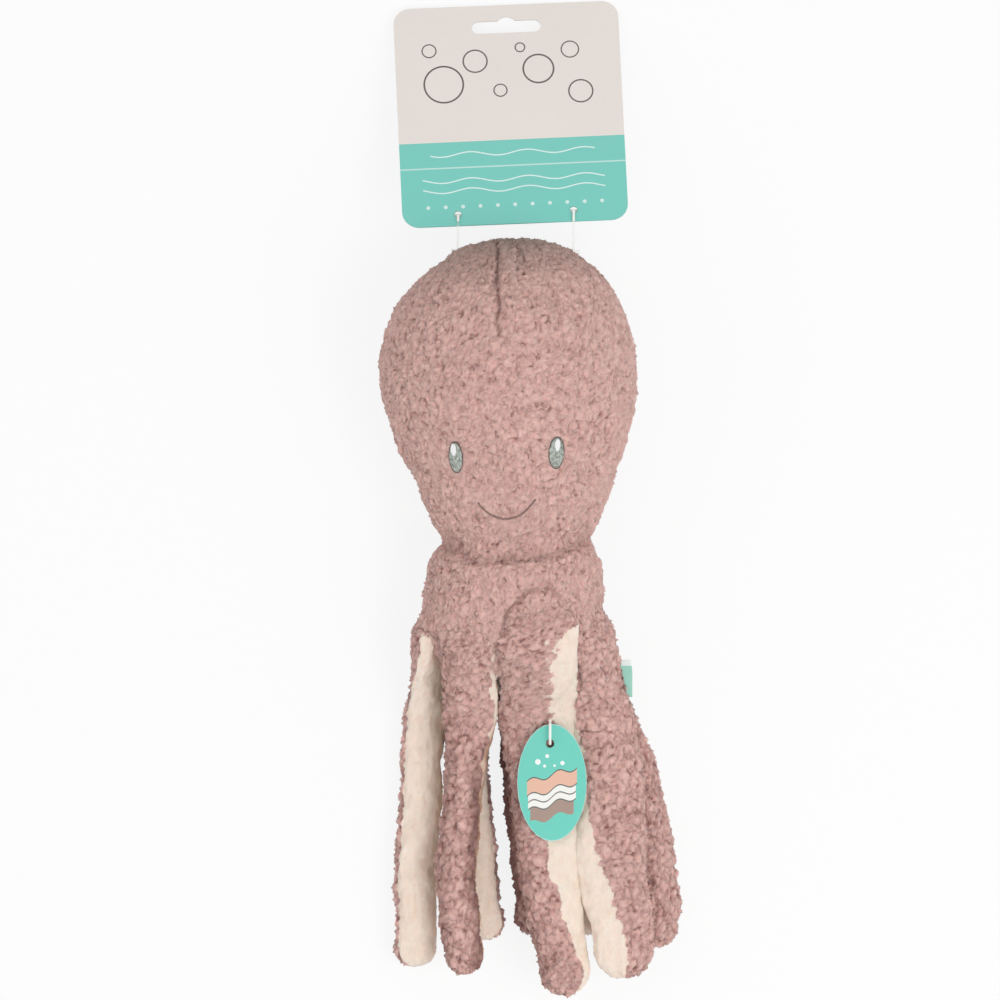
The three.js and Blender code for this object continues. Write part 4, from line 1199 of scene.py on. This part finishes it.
def label_rows():
    """Rows of points along the folded label, each round the fold at one place in the seam."""
    limb = next(row for row in limbs if row["name"] == "front_right")
    body_length = limb["length"] * limb_length - limb["width"] * limb_width / 2
    y = np.linspace(*label_ends, 9)
    section = limb_section(limb, (root_plane - y) / body_length)
    out_of = section["half_width"] * np.cos(section["roll"])
    up = section["half_thickness"] * np.sin(section["roll"])
    seam_x = section["x"] + np.sin(section["face"]) * out_of + np.cos(section["face"]) * up
    seam_z = section["z"] - np.cos(section["face"]) * out_of + np.sin(section["face"]) * up
    profile = [(reach * mm, side * label_half) for reach, side in label_fold]
    profile += [(reach, -side) for reach, side in profile[-2::-1]]
    across, along = math.cos(label_droop), math.sin(label_droop)
    rows = []
    for step, (x, z) in enumerate(zip(seam_x, seam_z)):
        curl = label_curl * math.sin(step * 0.9)
        turned = [(reach, side + curl * max(0, reach / label_reach) ** 2) for reach, side in profile]
        rows.append([
            (x + across * reach + along * side, y[step], z - along * reach + across * side) for reach, side in turned
        ])
    return np.array(rows)


class OCTOPUS_OT_label(bpy.types.Operator):
    """Fold the woven label and stand it in the front right tentacle's seam"""

    bl_idname = "octopus.label"
    bl_label = "Side label"

    def execute(self, context):
        label = tape("folded_label", label_rows())
        thicken = label.modifiers.new("Thickness", "SOLIDIFY")
        thicken.thickness = label_cloth
        thicken.offset = 0
        apply(label, thicken)
        refine(label, 2)
        paint(label, woven_finish("woven_label", tuple(context.scene.octopus_colours.mint)))
        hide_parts("side_label")
        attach(label, "tentacle_front_right")
        return {"FINISHED"}


def skin_tree():
    """The finished skin of the head as a surface that threads are laid on."""
    skin = bpy.data.objects["head_and_skirt_skin"]
    polygons = [tuple(face.vertices) for face in skin.data.polygons]
    return BVHTree.FromPolygons([tuple(spot) for spot in coordinates(skin)], polygons)


def height_under(tree, x, y):
    """Height of the skin under a point seen from the front."""
    spot = tree.ray_cast(Vector((x, y, 0.2)), Vector((0, 0, -1)))[0]
    if spot is None:
        raise RuntimeError("A stitch lies off the head")
    return spot.z


def smooth_heights(tree, line, reach):
    """Heights under a line of points, evened over a reach of neighbours."""
    heights = np.array([height_under(tree, x, y) for x, y in line])
    wide = np.pad(heights, reach, mode="edge")
    kernel = np.ones(2 * reach + 1) / (2 * reach + 1)
    return np.convolve(wide, kernel, mode="valid")


def model_stitch(name):
    """One stitch of unit size along X: a rod whose ends are drawn in and rounded."""
    bpy.ops.object.select_all(action="DESELECT")
    bpy.ops.mesh.primitive_cylinder_add(
        vertices=8, radius=0.5, depth=1, end_fill_type="NGON", rotation=(0, quarter, 0)
    )
    stitch = bpy.context.object
    stitch.name = name
    bpy.ops.object.transform_apply(location=True, rotation=True, scale=True)
    bpy.ops.object.mode_set(mode="EDIT")
    bpy.ops.mesh.select_all(action="DESELECT")
    bpy.ops.mesh.select_mode(type="FACE")
    bpy.ops.object.mode_set(mode="OBJECT")
    for face in stitch.data.polygons:
        face.select = abs(face.normal.x) > 0.9
    bpy.ops.object.mode_set(mode="EDIT")
    bpy.ops.mesh.inset(thickness=0.2, depth=0.0)
    for cut in np.linspace(-0.4, 0.4, 9):
        bpy.ops.mesh.select_all(action="SELECT")
        bpy.ops.mesh.bisect(plane_co=(float(cut), 0, 0), plane_no=(1, 0, 0))
    bpy.ops.object.mode_set(mode="OBJECT")
    places = coordinates(stitch)
    slim = np.sqrt(np.clip(1 - np.clip((np.abs(places[:, 0]) - 0.36) / 0.15, 0, 1) ** 2, 0.12, 1))
    places[:, 1:] *= slim[:, None]
    place(stitch, places)
    stitch.data.shade_smooth()
    return stitch


def leaning(rows, centre, lean):
    """Rows of stitches whose upper ends lean to one side."""
    return [tuple((x + (y - centre[1]) * lean, y) for x, y in row) for row in rows]


def sew(name, stitch, rows, tree, thickness, lift):
    """Copies a stitch along each row, from its start to its end, and lays it on the skin."""
    unit = coordinates(stitch)
    parts = []
    for start, end in rows:
        start, end = np.array(start), np.array(end)
        along = (end - start) / np.linalg.norm(end - start)
        across = np.array([-along[1], along[0]])
        flat = start + (unit[:, :1] + 0.5) * (end - start) + unit[:, 1:2] * thickness * across
        line = start + np.linspace(0, 1, 9)[:, None] * (end - start)
        ground = smooth_heights(tree, line, 2)
        height = np.interp(unit[:, 0] + 0.5, np.linspace(0, 1, 9), ground) + unit[:, 2] * thickness + lift
        copy = stitch.copy()
        copy.data = stitch.data.copy()
        bpy.context.scene.collection.objects.link(copy)
        place(copy, np.column_stack([flat, height]))
        parts.append(copy)
    make_active(parts[0])
    for part in parts:
        part.select_set(True)
    bpy.ops.object.join()
    joined = bpy.context.object
    joined.name = name
    joined.data.name = name
    return joined


def oval_rows(centre, width, height, pitch):
    """Rows of satin stitches that fill an upright oval."""
    count = int(width / pitch)
    rows = []
    for k in range(count):
        x = (k + 0.5) / count * 2 - 1
        reach = math.sqrt(1 - x * x) * height / 2
        across = centre[0] + x * width / 2
        rows.append(((across, centre[1] - reach), (across, centre[1] + reach)))
    return rows


def oval_ring(centre, width, height, count):
    turn = np.linspace(0, 2 * math.pi, count + 1)
    spots = np.column_stack([centre[0] + width / 2 * np.cos(turn), centre[1] + height / 2 * np.sin(turn)])
    lap = (spots[1:] - spots[:-1]) * 0.18
    return list(zip((spots[:-1] - lap).tolist(), (spots[1:] + lap).tolist()))


# Shares of an eye's width and length that its filling and its outline take, the size of its highlight,
# how far each layer of thread lies over the skin, and how many stitches run round an eye and the smile
filling_share = (0.88, 0.92)
outline_share = (0.9, 0.94)
glint_width, glint_length = 2.3 * mm, 6.0 * mm
outline_lift, filling_lift, glint_lift, smile_lift = 0.4 * mm, 0.5 * mm, 0.8 * mm, 0.12 * mm
outline_stitches, smile_stitches = 26, 14


class OCTOPUS_OT_face(bpy.types.Operator):
    """Embroider the eyes with their highlights, and the smile"""

    bl_idname = "octopus.face"
    bl_label = "Face"

    def execute(self, context):
        sizes, colours = context.scene.octopus_sizes, context.scene.octopus_colours
        tree = skin_tree()
        stitch = model_stitch("stitch")
        silver = thread_finish("silver_thread", tuple(colours.silver), 0.38, 9000, 0.34, 4.2)
        dark = thread_finish("outline_thread", tuple(colours.outline), 0.55, 9000, 0.4, 3.5)
        white = thread_finish("white_thread", tuple(colours.glint), 0.4, 9000, 0.85, 1.5)
        brown = thread_finish("smile_thread", tuple(colours.smile), 0.6, 5000, 0.6, 3.0)
        for eye in eyes:
            centre = (eye["x"], eye["y"])
            width, length = eye["width"], eye["length"]
            rows = oval_rows(centre, width * filling_share[0], length * filling_share[1], sizes.stitch * 0.8)
            rows = leaning(rows, centre, eye["lean"])
            fill = sew(f"{eye['name']}_stitches", stitch, rows, tree, sizes.stitch, filling_lift)
            paint(fill, silver)
            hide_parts(eye["name"])
            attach(fill, "head")
            ring = oval_ring(centre, width * outline_share[0], length * outline_share[1], outline_stitches)
            ring = leaning(ring, centre, eye["lean"])
            edge = sew(f"{eye['name']}_outline", stitch, ring, tree, sizes.stitch * 1.1, outline_lift)
            paint(edge, dark)
            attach(edge, "head")
            spot = (eye["x"] + eye["glint"][0], eye["y"] + eye["glint"][1])
            rows = oval_rows(spot, glint_width, glint_length, sizes.stitch * 0.7)
            rows = leaning(rows, centre, eye["lean"])
            glint = sew(f"{eye['name']}_glint_stitches", stitch, rows, tree, sizes.stitch, glint_lift)
            paint(glint, white)
            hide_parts(f"{eye['name']}_glint")
            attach(glint, "head")
        line = smile_line(smile_stitches + 1)
        lap = (line[1:] - line[:-1]) * 0.12
        rows = list(zip((line[:-1] - lap).tolist(), (line[1:] + lap).tolist()))
        smile = sew("smile_stitches", stitch, rows, tree, sizes.smile, smile_lift)
        paint(smile, brown)
        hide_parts("mouth")
        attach(smile, "head")
        bpy.data.objects.remove(stitch)
        return {"FINISHED"}


class OCTOPUS_OT_card(bpy.types.Operator):
    """Print the hang card, the tag and their plastic ties, and finish what lies inside"""

    bl_idname = "octopus.card"
    bl_label = "Card, tag and inner pieces"

    def execute(self, context):
        colours = context.scene.octopus_colours
        clear = plastic_finish("clear_tie", tuple(colours.nylon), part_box("card_fastener_left")[1].y - 4 * mm)
        loop = plastic_finish("loop_tie", tuple(colours.nylon))
        soft = plastic_finish("soft_plastic", srgb(240, 238, 230))
        pouch = woven_finish("pouch_nylon", srgb(226, 224, 216))
        finishes = {
            "hang_card": card_finish("printed_card", colours),
            "swing_tag": tag_finish("printed_tag", colours),
            "card_fastener_left": clear,
            "card_fastener_right": clear,
            "tag_loop": loop,
            "squeaker_bulb": soft,
            "squeaker_reed": soft,
            "squeaker_pouch": pouch,
        }
        for name, material in finishes.items():
            paint(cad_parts[name], material)
        return {"FINISHED"}


# The soft lamps, each with its place, size and power, where they point, how strong the light of the
# studio is, and how much of the floor shows as plain white
lamps = [
    ("key_lamp", (0.8, -0.6, 1.45), 1.0, 12.5),
    ("fill_lamp", (-1.1, -0.1, 1.3), 1.4, 5.0),
    ("rim_lamp", (0.3, 1.2, 1.1), 1.2, 1.6),
]
lamp_target = Vector((0, -0.06, 0.03))
studio_strength = 0.58
floor_glow = 0.85


class OCTOPUS_OT_stage(bpy.types.Operator):
    """Lay the pale floor, hang the soft lamps and set the camera over the toy"""

    bl_idname = "octopus.stage"
    bl_label = "Stage"

    def execute(self, context):
        scene, stage = context.scene, context.scene.octopus_stage
        bpy.ops.object.select_all(action="DESELECT")
        bpy.ops.mesh.primitive_plane_add(size=6, location=(0, 0, 0))
        floor = context.object
        floor.name = "floor"
        finish = Finish("pale_floor", Base_Color=(0.86, 0.86, 0.86, 1), Roughness=0.95)
        seen = finish.node("ShaderNodeLightPath", "Is Camera Ray")
        glow = finish.node("ShaderNodeEmission", "Emission", Color=(1, 1, 1), Strength=1.0)
        shade = Wire(finish.tree, finish.shader.outputs[0])
        blend = finish.tree.nodes.new("ShaderNodeMixShader")
        finish.feed(blend.inputs[0], seen * floor_glow)
        finish.tree.links.new(shade.socket, blend.inputs[1])
        finish.tree.links.new(glow.socket, blend.inputs[2])
        output = finish.tree.nodes["Material Output"]
        finish.tree.links.new(blend.outputs[0], output.inputs["Surface"])
        paint(floor, finish.material)

        camera = bpy.data.objects.new("camera", bpy.data.cameras.new("camera"))
        scene.collection.objects.link(camera)
        camera.location = (stage.view_x, stage.view_y, stage.camera_height)
        camera.data.sensor_width = stage.sensor
        camera.data.lens = stage.sensor * (stage.camera_height - stage.view_level) / stage.view_width
        scene.camera = camera

        for name, spot, size, power in lamps:
            lamp = bpy.data.objects.new(name, bpy.data.lights.new(name, "AREA"))
            scene.collection.objects.link(lamp)
            lamp.location = spot
            lamp.data.size = size
            lamp.data.energy = power
            lamp.rotation_euler = (lamp_target - Vector(spot)).to_track_quat("-Z", "Y").to_euler()
        world = bpy.data.worlds.new("studio")
        world.use_nodes = True
        background = world.node_tree.nodes["Background"]
        background.inputs["Color"].default_value = (1, 1, 1, 1)
        background.inputs["Strength"].default_value = studio_strength
        scene.world = world
        scene.view_settings.view_transform = "Standard"
        return {"FINISHED"}


class OCTOPUS_PT_panel(bpy.types.Panel):
    bl_label = "Plush Octopus"
    bl_idname = "OCTOPUS_PT_panel"
    bl_space_type = "VIEW_3D"
    bl_region_type = "UI"
    bl_category = "Octopus"

    def draw(self, context):
        for group in (context.scene.octopus_sizes, context.scene.octopus_colours, context.scene.octopus_stage):
            for key in group.__annotations__:
                self.layout.prop(group, key)
        for operator in operators:
            self.layout.operator(operator.bl_idname)


operators = [
    OCTOPUS_OT_stage, OCTOPUS_OT_body, OCTOPUS_OT_tentacles, OCTOPUS_OT_label, OCTOPUS_OT_base, OCTOPUS_OT_face,
    OCTOPUS_OT_card,
]
groups = {"octopus_sizes": OctopusSizes, "octopus_colours": OctopusColours, "octopus_stage": OctopusStage}


def register():
    for kind in (*groups.values(), *operators, OCTOPUS_PT_panel):
        bpy.utils.register_class(kind)
    for name, group in groups.items():
        setattr(bpy.types.Scene, name, bpy.props.PointerProperty(type=group))


def unregister():
    for name in groups:
        delattr(bpy.types.Scene, name)
    for kind in (OCTOPUS_PT_panel, *reversed(operators), *groups.values()):
        bpy.utils.unregister_class(kind)


def main():
    register()
    for operator in operators:
        family, name = operator.bl_idname.split(".")
        getattr(getattr(bpy.ops, family), name)()


if __name__ == "__main__":
    main()
